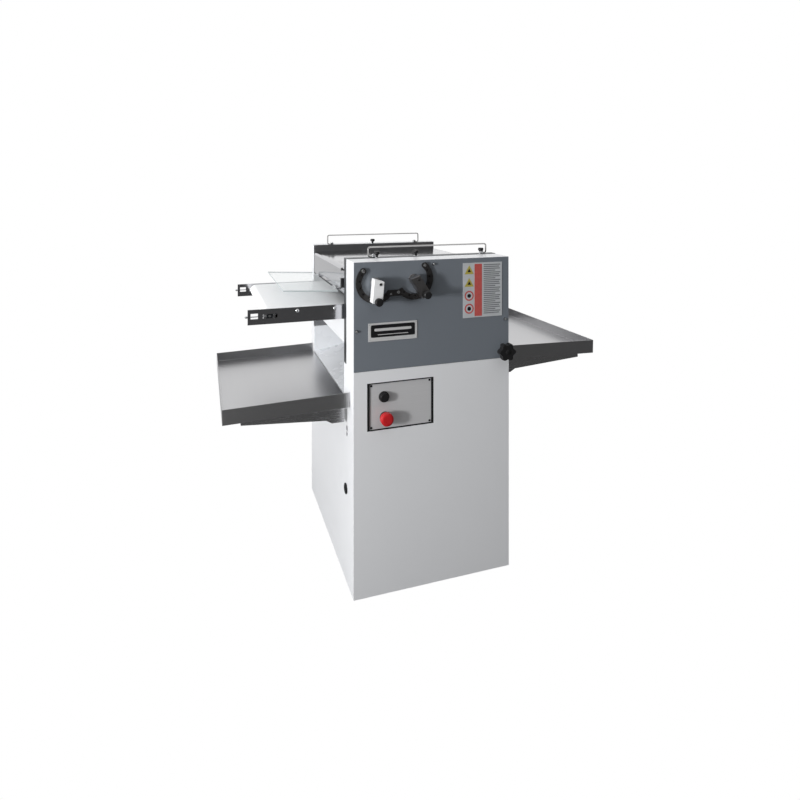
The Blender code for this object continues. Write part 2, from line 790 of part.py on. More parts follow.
def tension_screw(name, plate_y):
    """The screw that pushes the block, through the plate's end and window, with its head outside."""
    middle = plate_y + CONVEYOR_PLATE / 2
    head_to = CONVEYOR_END - GAP
    head_from = CONVEYOR_END - 0.0065
    tip = NOSE[0] - TENSION_BLOCK_HALF - GAP
    shank = rod(
        name, (head_from - 0.0025, middle, NOSE[1]), (tip, middle, NOSE[1]), TENSION_SCREW_RADIUS, 12
    )
    head = rod("head", (head_from, middle, NOSE[1]), (head_to, middle, NOSE[1]), TENSION_HEAD_RADIUS, 6)
    return finish(join(shank, head), "steel")


def conveyor_bed():
    """The sheet under the belt's upper run, with a fold down at each end."""
    top = BELT_TOP - BELT_THICKNESS - 0.0005
    half = SHEET / 2
    path = rounded(
        (
            (NOSE[0] + 0.030, top - 0.012),
            (NOSE[0] + 0.030, top - half),
            (DRIVE[0] - 0.030, top - half),
            (DRIVE[0] - 0.030, top - 0.012),
        ),
        0.003,
        2,
    )
    y_from = CONVEYOR_FRONT + CONVEYOR_PLATE + GAP
    y_to = CONVEYOR_REAR - GAP
    return finish(bent_sheet("conveyor_bed", path, SHEET, y_from, y_to), "steel")


def belt_circles():
    return [(*NOSE, NOSE_RADIUS), (*DRIVE, DRIVE_RADIUS)]


def infeed_belt():
    belt = loop_piece("infeed_belt", belt_circles(), BELT_THICKNESS - GAP, BELT_FRONT, BELT_REAR, GAP, 32)
    return finish(belt, "belt", smooth=True)


def nose_roller():
    outer = CONVEYOR_FRONT + 0.0003, CONVEYOR_REAR + CONVEYOR_PLATE - 0.0003
    inner = CONVEYOR_FRONT + CONVEYOR_PLATE + 0.002, CONVEYOR_REAR - 0.002
    stations = [
        (outer[0], NOSE_JOURNAL),
        (inner[0], NOSE_JOURNAL),
        (inner[0], NOSE_RADIUS),
        (inner[1], NOSE_RADIUS),
        (inner[1], NOSE_JOURNAL),
        (outer[1], NOSE_JOURNAL),
    ]
    return finish(turned("nose_roller", NOSE, stations), "steel", (NOSE[0], SPAN_CENTRE, NOSE[1]), True)


def belt_drive_roller():
    """The driven roller at the inner end of the belt, with its sprocket on the front journal."""
    ends = CHAIN_Y - SPROCKET_WIDTH / 2 - 0.004, REAR_PLATE + PLATE + 0.003
    inner = CONVEYOR_FRONT + CONVEYOR_PLATE + 0.002, CONVEYOR_REAR - 0.002
    stations = [
        (ends[0], DRIVE_JOURNAL),
        (inner[0], DRIVE_JOURNAL),
        (inner[0], DRIVE_RADIUS),
        (inner[1], DRIVE_RADIUS),
        (inner[1], DRIVE_JOURNAL),
        (ends[1], DRIVE_JOURNAL),
    ]
    roller = join(
        turned("belt_drive_roller", DRIVE, stations),
        sprocket("sprocket", DRIVE, CONVEYOR_SPROCKET_TEETH, CONVEYOR_SPROCKET_RADIUS),
    )
    return finish(roller, "steel", (DRIVE[0], SPAN_CENTRE, DRIVE[1]), True)


# ---------------------------------------------------------------- rollers and gap setting


def sprocket(name, centre, teeth, radius):
    half = SPROCKET_WIDTH / 2
    return toothed_wheel(name, centre, teeth, radius - 0.004, radius, CHAIN_Y - half, CHAIN_Y + half, 0.0)


def roller(name, centre, front_end, gear_phase):
    """A turned sheeting roller with its long-tooth gear on the rear journal."""
    rear_end = GEAR_FRONT + GEAR_WIDTH + 0.004
    stations = [
        (front_end, JOURNAL_RADIUS),
        (ROLLER_FRONT, JOURNAL_RADIUS),
        (ROLLER_FRONT, ROLLER_RADIUS),
        (ROLLER_REAR, ROLLER_RADIUS),
        (ROLLER_REAR, JOURNAL_RADIUS),
        (rear_end, JOURNAL_RADIUS),
    ]
    gear = toothed_wheel(
        "gear", centre, GEAR_TEETH, GEAR_ROOT, GEAR_OUTER, GEAR_FRONT, GEAR_FRONT + GEAR_WIDTH, gear_phase
    )
    return join(turned(name, centre, stations, 32), gear)


def lower_roller(stage):
    centre = (ROLLER_X[stage], LOWER_ROLLER_Z)
    piece = roller(
        f"lower_roller_{stage + 1}", centre, CHAIN_Y - SPROCKET_WIDTH / 2 - 0.004, math.pi / 2
    )
    piece = join(piece, sprocket("sprocket", centre, SPROCKET_TEETH, SPROCKET_RADIUS))
    return finish(piece, "steel", (centre[0], SPAN_CENTRE, centre[1]), True)


def upper_roller(stage):
    centre = (ROLLER_X[stage], upper_roller_z(rest_shift(stage)))
    phase = -math.pi / 2 + math.pi / GEAR_TEETH
    piece = roller(f"upper_roller_{stage + 1}", centre, FRONT_PLATE - 0.012, phase)
    return finish(piece, "steel", (centre[0], SPAN_CENTRE, centre[1]), True)


def gap_block(stage, end, y_from):
    """The bearing block of one upper journal; the lever's eccentric moves it in its window."""
    shift = rest_shift(stage)
    lever_x, roller_x = LEVER_X[stage], ROLLER_X[stage]
    journal_z = upper_roller_z(shift)
    yoke_z = LEVER_Z[stage] + shift
    y_to = y_from + BLOCK_THICKNESS
    across = ECCENTRIC_RADIUS + ECCENTRIC_OFFSET + YOKE_SIDE_CLEARANCE
    up = ECCENTRIC_RADIUS + YOKE_CLEARANCE
    block = box(
        f"gap_block_{stage + 1}_{end}",
        (lever_x - across - BLOCK_WEB, y_from, journal_z - JOURNAL_RADIUS - BLOCK_RIM),
        (roller_x + JOURNAL_RADIUS + BLOCK_RIM, y_to, yoke_z + up + BLOCK_WEB),
    )
    window = box(
        "window", (lever_x - across, y_from - PAST, yoke_z - up), (lever_x + across, y_to + PAST, yoke_z + up)
    )
    bore = crosswise_rod(
        "bore", (roller_x, journal_z), y_from - PAST, y_to + PAST, JOURNAL_RADIUS + RUNNING_CLEARANCE
    )
    return finish(cut(block, window, bore), "steel", (roller_x, y_from, journal_z))


def eccentric_centre(stage):
    """The eccentric stands level with the shaft at mid travel and sinks as the lever closes the gap."""
    level = math.pi if LEVER_CLOSING[stage] > 0 else 0.0
    angle = level + LEVER_REST[stage] - LEVER_MIDDLE[stage]
    return (
        LEVER_X[stage] + ECCENTRIC_OFFSET * math.cos(angle),
        LEVER_Z[stage] + ECCENTRIC_OFFSET * math.sin(angle),
    )


def lever_shaft(stage):
    centre = lever_axes()[stage]
    shaft = crosswise_rod(
        f"lever_shaft_{stage + 1}",
        centre,
        LEVER_FRONT + LEVER_THICKNESS + GAP,
        REAR_BLOCK + BLOCK_THICKNESS,
        LEVER_SHAFT_RADIUS,
        20,
    )
    for y_from in (FRONT_BLOCK, REAR_BLOCK):
        eccentric = crosswise_rod(
            "eccentric", eccentric_centre(stage), y_from, y_from + BLOCK_THICKNESS, ECCENTRIC_RADIUS, 24
        )
        shaft = join(shaft, eccentric)
    return finish(shaft, "steel", (centre[0], SPAN_CENTRE, centre[1]), True)


def along_lever(stage, distance, sideways=0.0):
    """The (x, z) point at a distance from the lever's axis towards its knob."""
    angle = LEVER_REST[stage]
    x = LEVER_X[stage] + distance * math.cos(angle) - sideways * math.sin(angle)
    z = LEVER_Z[stage] + distance * math.sin(angle) + sideways * math.cos(angle)
    return (x, z)


def lever_arm(stage):
    """The thick bar of the handle, its top end cut askew, with the bore of its index plunger."""
    half = LEVER_WIDTH / 2
    corners = (
        (-LEVER_ABOVE[0], -half),
        (LEVER_BELOW, -half),
        (LEVER_BELOW, half),
        (-LEVER_ABOVE[1], half),
    )
    outline = [along_lever(stage, distance, sideways) for distance, sideways in corners]
    back = LEVER_FRONT + LEVER_THICKNESS
    arm = flat_piece(f"lever_arm_{stage + 1}", outline, LEVER_FRONT, back)
    bore = crosswise_rod(
        "bore",
        along_lever(stage, PLUNGER_ARM),
        LEVER_FRONT - PAST,
        back + PAST,
        PLUNGER_RADIUS + RUNNING_CLEARANCE,
        16,
    )
    return finish(cut(arm, bore), "steel", (LEVER_X[stage], LEVER_FRONT, LEVER_Z[stage]))


def lever_knob(stage):
    """The pull knob with its index pin, which drops into the quadrant's holes."""
    x, z = along_lever(stage, PLUNGER_ARM)
    stations = [
        (LEVER_FRONT - 0.0200, KNOB_RADIUS * 0.80),
        (LEVER_FRONT - 0.0175, KNOB_RADIUS),
        (LEVER_FRONT - 0.0075, KNOB_RADIUS),
        (LEVER_FRONT - 0.0050, KNOB_RADIUS * 0.60),
        (LEVER_FRONT - 0.0008, KNOB_RADIUS * 0.60),
        (LEVER_FRONT - 0.0008, PLUNGER_RADIUS),
        (QUADRANT_FRONT - 0.0010, PLUNGER_RADIUS),
    ]
    knob = turned(f"lever_knob_{stage + 1}", (x, z), stations, 20)
    return finish(knob, "black_plastic", (x, LEVER_FRONT, z), True)


def quadrant_band(stage):
    """One C-shaped band round a lever's hub, from its upper outer end to the shared screw."""
    centre = lever_axes()[stage]
    if stage == 0:
        start, end = math.pi - QUADRANT_TIP[0], 2 * math.pi + QUADRANT_LOW
    else:
        start, end = QUADRANT_TIP[1], -math.pi - QUADRANT_LOW
    steps = 18
    outer = arc(centre, QUADRANT_OUTER, start, end, steps)
    inner = arc(centre, QUADRANT_INNER, end, start, steps)
    band = flat_piece("band", outer + inner, QUADRANT_FRONT, QUADRANT_FRONT + QUADRANT_THICKNESS)
    middle = (QUADRANT_INNER + QUADRANT_OUTER) / 2
    width = (QUADRANT_OUTER - QUADRANT_INNER) / 2
    tip = crosswise_rod(
        "tip",
        arc(centre, middle, start, end, 1)[0],
        QUADRANT_FRONT,
        QUADRANT_FRONT + QUADRANT_THICKNESS,
        width + 0.0006,
        20,
    )
    return join(band, tip)


def index_holes(stage):
    """Blind holes on the plunger's radius, over the lever's swing."""
    middle = LEVER_MIDDLE[stage]
    places = arc(
        lever_axes()[stage],
        PLUNGER_ARM,
        middle - LEVER_HALF_SWING,
        middle + LEVER_HALF_SWING,
        INDEX_HOLES - 1,
    )
    return [
        crosswise_rod(
            "index", place, QUADRANT_FRONT - PAST, QUADRANT_FRONT + INDEX_DEPTH, PLUNGER_RADIUS + 0.0006, 8
        )
        for place in places
    ]


def lever_quadrant():
    """Both bands and the lug between them, as one plate on the grey panel."""
    first, second = quadrant_band(0), quadrant_band(1)
    first.name = "lever_quadrant"
    x, z = LUG_CENTRE
    lug = box(
        "lug",
        (x - LUG_HALF, QUADRANT_FRONT, z - LUG_HEIGHT / 2),
        (x + LUG_HALF, QUADRANT_FRONT + QUADRANT_THICKNESS, z + LUG_HEIGHT / 2),
    )
    plate = join(first, lug, second)
    return finish(cut(plate, *index_holes(0), *index_holes(1)), "black_plastic")


def scraper(stage):
    """The sprung blade that strips the lower roller, on a flange between the side plates."""
    x = ROLLER_X[stage]
    z = LOWER_ROLLER_Z
    reach = ROLLER_RADIUS + 0.0016
    angle = math.radians(-50)
    tip = (x + reach * math.cos(angle), z + reach * math.sin(angle))
    path = rounded((tip, (tip[0] + 0.012, tip[1] - 0.016), (tip[0] + 0.012, tip[1] - 0.040)), 0.004, 2)
    blade = bent_sheet(f"scraper_{stage + 1}", path, SHEET, INNER_FRONT + GAP, INNER_REAR - GAP)
    return finish(blade, "steel")


def transfer_plate():
    """The bridge that carries the dough from the first pair to the second."""
    z = LOWER_ROLLER_Z + 0.024
    reach = math.sqrt(ROLLER_RADIUS**2 - 0.024**2) + 0.0028
    path = ((ROLLER_X[0] + reach, z), (ROLLER_X[1] - reach, z))
    plate = bent_sheet("transfer_plate", path, SHEET, INNER_FRONT + GAP, INNER_REAR - GAP)
    rib = box(
        "rib",
        (sum(ROLLER_X) / 2 - 0.001, INNER_FRONT + GAP, z - 0.014),
        (sum(ROLLER_X) / 2 + 0.001, INNER_REAR - GAP, z),
    )
    return finish(join(plate, rib), "steel")


# ---------------------------------------------------------------- drive


def gearbox():
    x, z = MOTOR_AXIS
    y_from = GEARBOX_FRONT
    y_to = y_from + GEARBOX_DEPTH
    body = box("gearbox", (x - 0.055, y_from, z - 0.060), (x + 0.055, y_to, z + 0.060))
    foot = box("foot", (x - 0.075, y_from + 0.010, FLOOR_SHEET + GAP), (x + 0.075, y_to - 0.010, z - 0.050))
    bore = crosswise_rod(
        "bore", MOTOR_AXIS, y_from - PAST, y_from + 0.045, JOURNAL_RADIUS + RUNNING_CLEARANCE
    )
    return finish(cut(join(body, foot), bore), "motor")


def motor():
    """The flanged motor behind the gearbox."""
    x, z = MOTOR_AXIS
    y_from = GEARBOX_FRONT + GEARBOX_DEPTH + GAP
    stations = [
        (y_from, 0.050),
        (y_from + 0.012, 0.050),
        (y_from + 0.012, 0.068),
        (y_from + 0.200, 0.068),
        (y_from + 0.200, 0.062),
        (y_from + 0.240, 0.062),
    ]
    return finish(turned("motor", MOTOR_AXIS, stations, 32), "motor", smooth=True)


def drive_sprocket():
    half = SPROCKET_WIDTH / 2
    shaft = crosswise_rod(
        "drive_sprocket", MOTOR_AXIS, CHAIN_Y - half - 0.004, GEARBOX_FRONT + 0.035, JOURNAL_RADIUS
    )
    piece = join(shaft, sprocket("wheel", MOTOR_AXIS, SPROCKET_TEETH, SPROCKET_RADIUS))
    return finish(piece, "steel", (MOTOR_AXIS[0], CHAIN_Y, MOTOR_AXIS[1]))


def drive_chain():
    circles = [(*DRIVE, CONVEYOR_SPROCKET_RADIUS), (*MOTOR_AXIS, SPROCKET_RADIUS)]
    circles.extend((x, LOWER_ROLLER_Z, SPROCKET_RADIUS) for x in ROLLER_X)
    y_from, y_to = CHAIN_Y - SPROCKET_WIDTH / 2, CHAIN_Y + SPROCKET_WIDTH / 2
    chain = loop_piece("drive_chain", circles, CHAIN_THICKNESS, y_from, y_to, CHAIN_CLEARANCE)
    return finish(chain, "dark_steel")


# ---------------------------------------------------------------- trays


def tray(name, side, floor_z, length):
    """A folded tray, open towards the cabinet; side is -1 on the left and +1 on the right."""
    wall_x = side * (WIDTH / 2 + TRAY_CLEARANCE)
    far_x = wall_x + side * length
    near_y, far_y = -TRAY_WIDTH / 2, TRAY_WIDTH / 2
    skirt_z = floor_z - TRAY_SKIRT
    low_x, high_x = sorted((wall_x, far_x))
    body = box(name, (low_x, near_y, skirt_z), (high_x, far_y, floor_z + TRAY_WALL))
    inner_low, inner_high = sorted((wall_x - side * PAST, far_x - side * SHEET))
    past_walls = floor_z + TRAY_WALL + PAST
    pocket = box("pocket", (inner_low, near_y + SHEET, floor_z), (inner_high, far_y - SHEET, past_walls))
    under_low, under_high = sorted((wall_x + side * SHEET, far_x - side * SHEET))
    under = box(
        "under", (under_low, near_y + SHEET, skirt_z - PAST), (under_high, far_y - SHEET, floor_z - SHEET)
    )
    below_hem = box(
        "below_hem",
        (wall_x - PAST, near_y + SHEET, skirt_z - PAST),
        (wall_x + PAST, far_y - SHEET, floor_z - TRAY_HEM),
    )
    body = cut(body, pocket, under, below_hem)
    tilt_about(body, (wall_x, 0.0, floor_z), side * TRAY_SLOPE)
    return finish(body, "steel")


def tilt_about(piece, pivot, angle):
    """Turns a piece's shape about an axis along Y through the pivot."""
    place = Vector(pivot)
    turn = Matrix.Rotation(angle, 4, "Y")
    piece.data.transform(Matrix.Translation(place) @ turn @ Matrix.Translation(-place))


def arm_outline(side, floor_z):
    """The side view of a cantilever arm, deepest at the cabinet."""
    top_at_wall = -SHEET - 0.0006 + math.tan(TRAY_SLOPE) * TRAY_CLEARANCE
    steps = (
        (ARM_START, top_at_wall - math.tan(TRAY_SLOPE) * ARM_START),
        (ARM_END, top_at_wall - math.tan(TRAY_SLOPE) * ARM_END),
        (ARM_END, -0.0445),
        (0.0680, -0.0620),
        (0.0500, -0.0725),
        (ARM_START, -0.0725),
    )
    return out_from_wall(side, floor_z, steps)


def hook_outline(side, floor_z):
    """The side view of a hook: a block against the wall and a tooth that drops behind it."""
    steps = (
        (ARM_START + 0.0020, -0.0148),
        (-0.0080, -0.0148),
        (-0.0080, -0.0315),
        (-0.0025, -0.0315),
        (-0.0025, -0.0225),
        (0.0005, -0.0225),
        (0.0005, -0.0331),
        (ARM_START + 0.0020, -0.0331),
    )
    return out_from_wall(side, floor_z, steps)


def out_from_wall(side, floor_z, steps):
    """Points (out from the wall, up from the tray's floor) as (x, z)."""
    return [(side * (WIDTH / 2 + out), floor_z + up) for out, up in steps]


def tray_frame(name, side, floor_z):
    """Two arms with their hooks, joined by a cross tube under the tray."""
    pieces = []
    for y in HOOK_Y:
        for outline, width in ((arm_outline, ARM_WIDTH), (hook_outline, HOOK_THICKNESS)):
            pieces.append(flat_piece("arm", outline(side, floor_z), y - width / 2, y + width / 2))
    tube_x = side * (WIDTH / 2 + ARM_END - CROSS_TUBE)
    half = CROSS_TUBE / 2
    middle_z = floor_z - 0.032
    tube = box(
        "cross_tube", (tube_x - half, HOOK_Y[0], middle_z - half), (tube_x + half, HOOK_Y[1], middle_z + half)
    )
    frame = join(*pieces, tube)
    frame.name = name
    return finish(frame, "steel")


# ---------------------------------------------------------------- rails, knob, plates and controls


def wire_rail(name, ends, y, foot_z):
    """A wire loop that stands on the head, its feet turned in along the plate."""
    left, right = ends
    foot = foot_z + RAIL_RADIUS + GAP
    path = rounded(
        (
            (left + RAIL_TOE, foot),
            (left, foot),
            (left, RAIL_TOP),
            (right, RAIL_TOP),
            (right, foot),
            (right - RAIL_TOE, foot),
        ),
        0.006,
    )
    return finish(wire(name, [(x, y, z) for x, z in path], RAIL_RADIUS), "steel", smooth=True)


def star_knob():
    """A six-lobed clamping knob on a stud that runs back to the side plate."""
    steps = 8 * KNOB_LOBES
    outline = []
    for step in range(steps):
        angle = 2 * math.pi * step / steps
        radius = 0.0265 + 0.0035 * math.cos(KNOB_LOBES * angle)
        outline.append((STAR_KNOB[0] + radius * math.cos(angle), STAR_KNOB[1] + radius * math.sin(angle)))
    head = flat_piece("star_knob", outline, FRONT - 0.034, FRONT - 0.014)
    neck = crosswise_rod("neck", STAR_KNOB, FRONT - 0.020, FRONT - 0.0006, 0.011, 20)
    stud = crosswise_rod("stud", STAR_KNOB, FRONT - 0.010, FRONT_PLATE - 0.002, STUD_RADIUS, 16)
    return finish(join(head, neck, stud), "black_plastic", (STAR_KNOB[0], FRONT, STAR_KNOB[1]))


def nameplate():
    (left, low), (right, high) = NAMEPLATE
    plate = box("nameplate", (left, FRONT - 0.0018, low), (right, FRONT - GAP, high))
    return finish(plate, "label")


def info_placard():
    (left, low), (right, high) = PLACARD
    placard = box("info_placard", (left, FRONT - 0.0013, low), (right, FRONT - GAP, high))
    return finish(placard, "label")


def control_housing():
    """The black box let into the cabinet front, open towards the operator."""
    housing = box(
        "control_housing",
        (CONTROL_LEFT + GAP, FRONT + 0.0002, CONTROL_LOW + GAP),
        (CONTROL_RIGHT - GAP, FRONT + 0.055, CONTROL_HIGH - GAP),
    )
    hollow = box(
        "hollow",
        (CONTROL_LEFT + CONTROL_SIDE_BORDER, FRONT - PAST, CONTROL_LOW + CONTROL_END_BORDER),
        (CONTROL_RIGHT - CONTROL_SIDE_BORDER, FRONT + 0.052, CONTROL_HIGH - CONTROL_END_BORDER),
    )
    return finish(cut(housing, hollow), "black_plastic")


def control_plate():
    side, end = CONTROL_SIDE_BORDER + GAP, CONTROL_END_BORDER + GAP
    plate = box(
        "control_plate",
        (CONTROL_LEFT + side, FRONT + 0.003, CONTROL_LOW + end),
        (CONTROL_RIGHT - side, FRONT + 0.005, CONTROL_HIGH - end),
    )
    holes = [
        crosswise_rod("hole", place, FRONT - PAST, FRONT + PAST, BUTTON_STEM + RUNNING_CLEARANCE)
        for place in (PUSH_BUTTON, ESTOP)
    ]
    return finish(cut(plate, *holes), "label")


def push_button():
    stations = [
        (FRONT - 0.0130, BUTTON_RADIUS - 0.0012),
        (FRONT - 0.0118, BUTTON_RADIUS),
        (FRONT - 0.0035, BUTTON_RADIUS),
        (FRONT - 0.0035, BUTTON_STEM),
        (FRONT + 0.0300, BUTTON_STEM),
    ]
    piece = turned("push_button", PUSH_BUTTON, stations)
    return finish(piece, "black_plastic", (PUSH_BUTTON[0], FRONT, PUSH_BUTTON[1]), True)


def estop_button():
    """The red mushroom head on its stem."""
    stations = [
        (FRONT - 0.0300, ESTOP_RADIUS - 0.0080),
        (FRONT - 0.0285, ESTOP_RADIUS - 0.0030),
        (FRONT - 0.0260, ESTOP_RADIUS),
        (FRONT - 0.0110, ESTOP_RADIUS),
        (FRONT - 0.0100, ESTOP_RADIUS - 0.0010),
        (FRONT - 0.0100, 0.0130),
        (FRONT - 0.0040, 0.0115),
        (FRONT - 0.0040, BUTTON_STEM),
        (FRONT + 0.0300, BUTTON_STEM),
    ]
    button = turned("estop_button", ESTOP, stations)
    return finish(button, "red_plastic", (ESTOP[0], FRONT, ESTOP[1]), True)


def build_cabinet():
    cabinet_shell()
    cabinet_floor()
    cabinet_back()
    cable_gland()
    discharge_chute()


def build_head():
    front_side_plate()
    rear_side_plate()
    front_cover()
    front_panel()
    rear_cover()
    hood()
    infeed_guard()
    guard_switch()
    left_skirt()
    tie_bar()


def build_conveyor():
    for end, y in (("front", CONVEYOR_FRONT), ("rear", CONVEYOR_REAR)):
        conveyor_plate(f"conveyor_plate_{end}", y)
        tension_block(f"tension_block_{end}", y)
        tension_screw(f"tension_screw_{end}", y)
    conveyor_bed()
    infeed_belt()
    nose_roller()
    belt_drive_roller()


def build_rollers():
    for stage in range(2):
        lower_roller(stage)
        upper_roller(stage)
        gap_block(stage, "front", FRONT_BLOCK)
        gap_block(stage, "rear", REAR_BLOCK)
        lever_shaft(stage)
        lever_arm(stage)
        lever_knob(stage)
        scraper(stage)
    lever_quadrant()
    transfer_plate()


def build_drive():
    gearbox()
    motor()
    drive_sprocket()
    drive_chain()


def build_trays():
    trays = (
        ("left", -1, LEFT_TRAY_FLOOR, LEFT_TRAY_LENGTH),
        ("right", 1, RIGHT_TRAY_FLOOR, RIGHT_TRAY_LENGTH),
    )
    for label, side, floor_z, length in trays:
        tray(f"{label}_tray", side, floor_z, length)
        tray_frame(f"{label}_tray_frame", side, floor_z)


def build_fittings():
    wire_rail("front_rail", FRONT_RAIL, FRONT_RAIL_Y, HEAD_TOP + RIM_PROUD)
    wire_rail("rear_rail", REAR_RAIL, REAR_PLATE + PLATE / 2, REAR_TOP - 0.001)
    star_knob()
    nameplate()
    info_placard()
    control_housing()
    control_plate()
    push_button()
    estop_button()


build_cabinet()
build_head()
build_conveyor()
build_rollers()
build_drive()
build_trays()
build_fittings()
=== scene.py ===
"""Looks for the dough sheeter: surfaces for its nodes, small fittings as separate pieces, light and camera.

Metres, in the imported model's own frame: +X along the operator's front face, +Y towards the back, +Z up.
"""

import json
import math

import bmesh
import bpy
from mathutils import Matrix, Vector


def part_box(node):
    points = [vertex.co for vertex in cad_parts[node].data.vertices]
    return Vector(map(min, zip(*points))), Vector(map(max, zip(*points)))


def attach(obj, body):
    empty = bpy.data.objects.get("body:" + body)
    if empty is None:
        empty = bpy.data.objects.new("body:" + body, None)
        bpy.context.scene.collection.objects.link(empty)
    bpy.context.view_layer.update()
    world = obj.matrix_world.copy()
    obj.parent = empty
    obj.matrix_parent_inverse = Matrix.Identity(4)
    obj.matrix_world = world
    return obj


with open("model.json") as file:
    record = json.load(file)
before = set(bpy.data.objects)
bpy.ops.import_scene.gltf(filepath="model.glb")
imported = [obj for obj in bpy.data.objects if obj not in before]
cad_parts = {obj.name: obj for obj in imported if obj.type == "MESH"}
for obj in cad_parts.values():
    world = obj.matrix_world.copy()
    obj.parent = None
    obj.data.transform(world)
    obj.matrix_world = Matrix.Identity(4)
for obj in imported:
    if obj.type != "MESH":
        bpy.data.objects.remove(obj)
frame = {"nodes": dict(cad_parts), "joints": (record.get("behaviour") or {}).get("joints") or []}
NODES = frame["nodes"]
JOINTS = {joint["name"]: joint for joint in frame["joints"]}
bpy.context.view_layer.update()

# Faces that the fittings stand on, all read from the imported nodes
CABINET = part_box("cabinet_shell")
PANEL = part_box("front_panel")
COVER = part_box("front_cover")
REAR_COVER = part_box("rear_cover")
RIM_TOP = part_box("front_side_plate")[1].z
REAR_PLATE_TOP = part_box("rear_side_plate")[1].z
BACK_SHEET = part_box("cabinet_back")
LEFT = CABINET[0].x
FRONT = PANEL[0].y
LEVER_AXES = [JOINTS[f"lever_{number}_turn"]["pos_m"] for number in (1, 2)]

X_AXIS = Vector((1.0, 0.0, 0.0))
Y_AXIS = Vector((0.0, 1.0, 0.0))
Z_AXIS = Vector((0.0, 0.0, 1.0))

# Edges sharper than the first are rounded, and creases sharper than the second stay hard
ROUNDED_FROM = math.radians(35)
CREASED_FROM = math.radians(38)

# What keeps a fitting off the face under it
CLEARANCE = 0.0002


# ---------------------------------------------------------------- shader helpers


def new_material(name, colour, roughness, metallic=0.0):
    material = bpy.data.materials.new(name)
    material.use_nodes = True
    shader = material.node_tree.nodes["Principled BSDF"]
    shader.inputs["Base Color"].default_value = (*colour, 1.0)
    shader.inputs["Roughness"].default_value = roughness
    shader.inputs["Metallic"].default_value = metallic
    return material, material.node_tree, shader


def stretched(tree, scale):
    """Object coordinates multiplied axis by axis, so that a pattern of size 1 becomes 1 / scale metres."""
    place = tree.nodes.new("ShaderNodeTexCoord")
    mapping = tree.nodes.new("ShaderNodeMapping")
    mapping.inputs["Scale"].default_value = scale
    tree.links.new(place.outputs["Object"], mapping.inputs["Vector"])
    return mapping.outputs["Vector"]


def noise(tree, scale, detail=3.0, roughness=0.55):
    texture = tree.nodes.new("ShaderNodeTexNoise")
    texture.inputs["Scale"].default_value = 1.0
    texture.inputs["Detail"].default_value = detail
    texture.inputs["Roughness"].default_value = roughness
    tree.links.new(stretched(tree, scale), texture.inputs["Vector"])
    return texture.outputs["Fac"]


def spread(tree, value, low, high, start=0.25, end=0.75):
    """Maps the range start..end of a value to low..high, clamped."""
    mapped = tree.nodes.new("ShaderNodeMapRange")
    mapped.inputs["From Min"].default_value = start
    mapped.inputs["From Max"].default_value = end
    mapped.inputs["To Min"].default_value = low
    mapped.inputs["To Max"].default_value = high
    tree.links.new(value, mapped.inputs["Value"])
    return mapped.outputs["Result"]


def mixed(tree, factor, first, second):
    mix = tree.nodes.new("ShaderNodeMix")
    mix.data_type = "RGBA"
    colours = [socket for socket in mix.inputs if socket.type == "RGBA"]
    for socket, colour in zip(colours, (first, second)):
        if isinstance(colour, tuple):
            socket.default_value = (*colour, 1.0)
        else:
            tree.links.new(colour, socket)
    tree.links.new(factor, mix.inputs["Factor"])
    return next(socket for socket in mix.outputs if socket.type == "RGBA")


def arithmetic(tree, operation, *values):
    step = tree.nodes.new("ShaderNodeMath")
    step.operation = operation
    for socket, value in zip(step.inputs, values):
        if isinstance(value, (int, float)):
            socket.default_value = value
        else:
            tree.links.new(value, socket)
    return step.outputs["Value"]


def add_bump(tree, shader, height, distance, strength=1.0):
    """Raises the surface by the pattern; a second call adds to the first."""
    bump = tree.nodes.new("ShaderNodeBump")
    bump.inputs["Distance"].default_value = distance
    bump.inputs["Strength"].default_value = strength
    tree.links.new(height, bump.inputs["Height"])
    normal = shader.inputs["Normal"]
    if normal.is_linked:
        tree.links.new(normal.links[0].from_socket, bump.inputs["Normal"])
    tree.links.new(bump.outputs["Normal"], normal)


def shade(colour, factor):
    return tuple(channel * factor for channel in colour)


def vary(tree, shader, colour, amount, scale):
    """Slow drift of the base colour, as on any large painted or rolled surface."""
    drift = spread(tree, noise(tree, (scale,) * 3, 4.0), 0.0, 1.0)
    result = mixed(tree, drift, shade(colour, 1.0 - amount), shade(colour, 1.0 + amount))
    tree.links.new(result, shader.inputs["Base Color"])
    return result


def edge_mask(tree, corners, width):
    """1 on the edges of a box and 0 further in than width, broken up by noise."""
    place = tree.nodes.new("ShaderNodeTexCoord")
    split = tree.nodes.new("ShaderNodeSeparateXYZ")
    tree.links.new(place.outputs["Object"], split.inputs["Vector"])
    low, high = corners
    depths = []
    for axis, name in enumerate(("X", "Y", "Z")):
        above = arithmetic(tree, "SUBTRACT", split.outputs[name], low[axis])
        below = arithmetic(tree, "SUBTRACT", high[axis], split.outputs[name])
        depths.append(arithmetic(tree, "ABSOLUTE", arithmetic(tree, "MINIMUM", above, below)))
    a, b, c = depths
    inner = arithmetic(tree, "MINIMUM", arithmetic(tree, "MAXIMUM", a, b), c)
    second = arithmetic(tree, "MAXIMUM", arithmetic(tree, "MINIMUM", a, b), inner)
    near = spread(tree, second, 1.0, 0.0, 0.0, width)
    chips = spread(tree, noise(tree, (140.0,) * 3, 5.0, 0.65), 0.0, 1.0, 0.60, 0.66)
    return arithmetic(tree, "MULTIPLY", near, chips)


# ---------------------------------------------------------------- materials


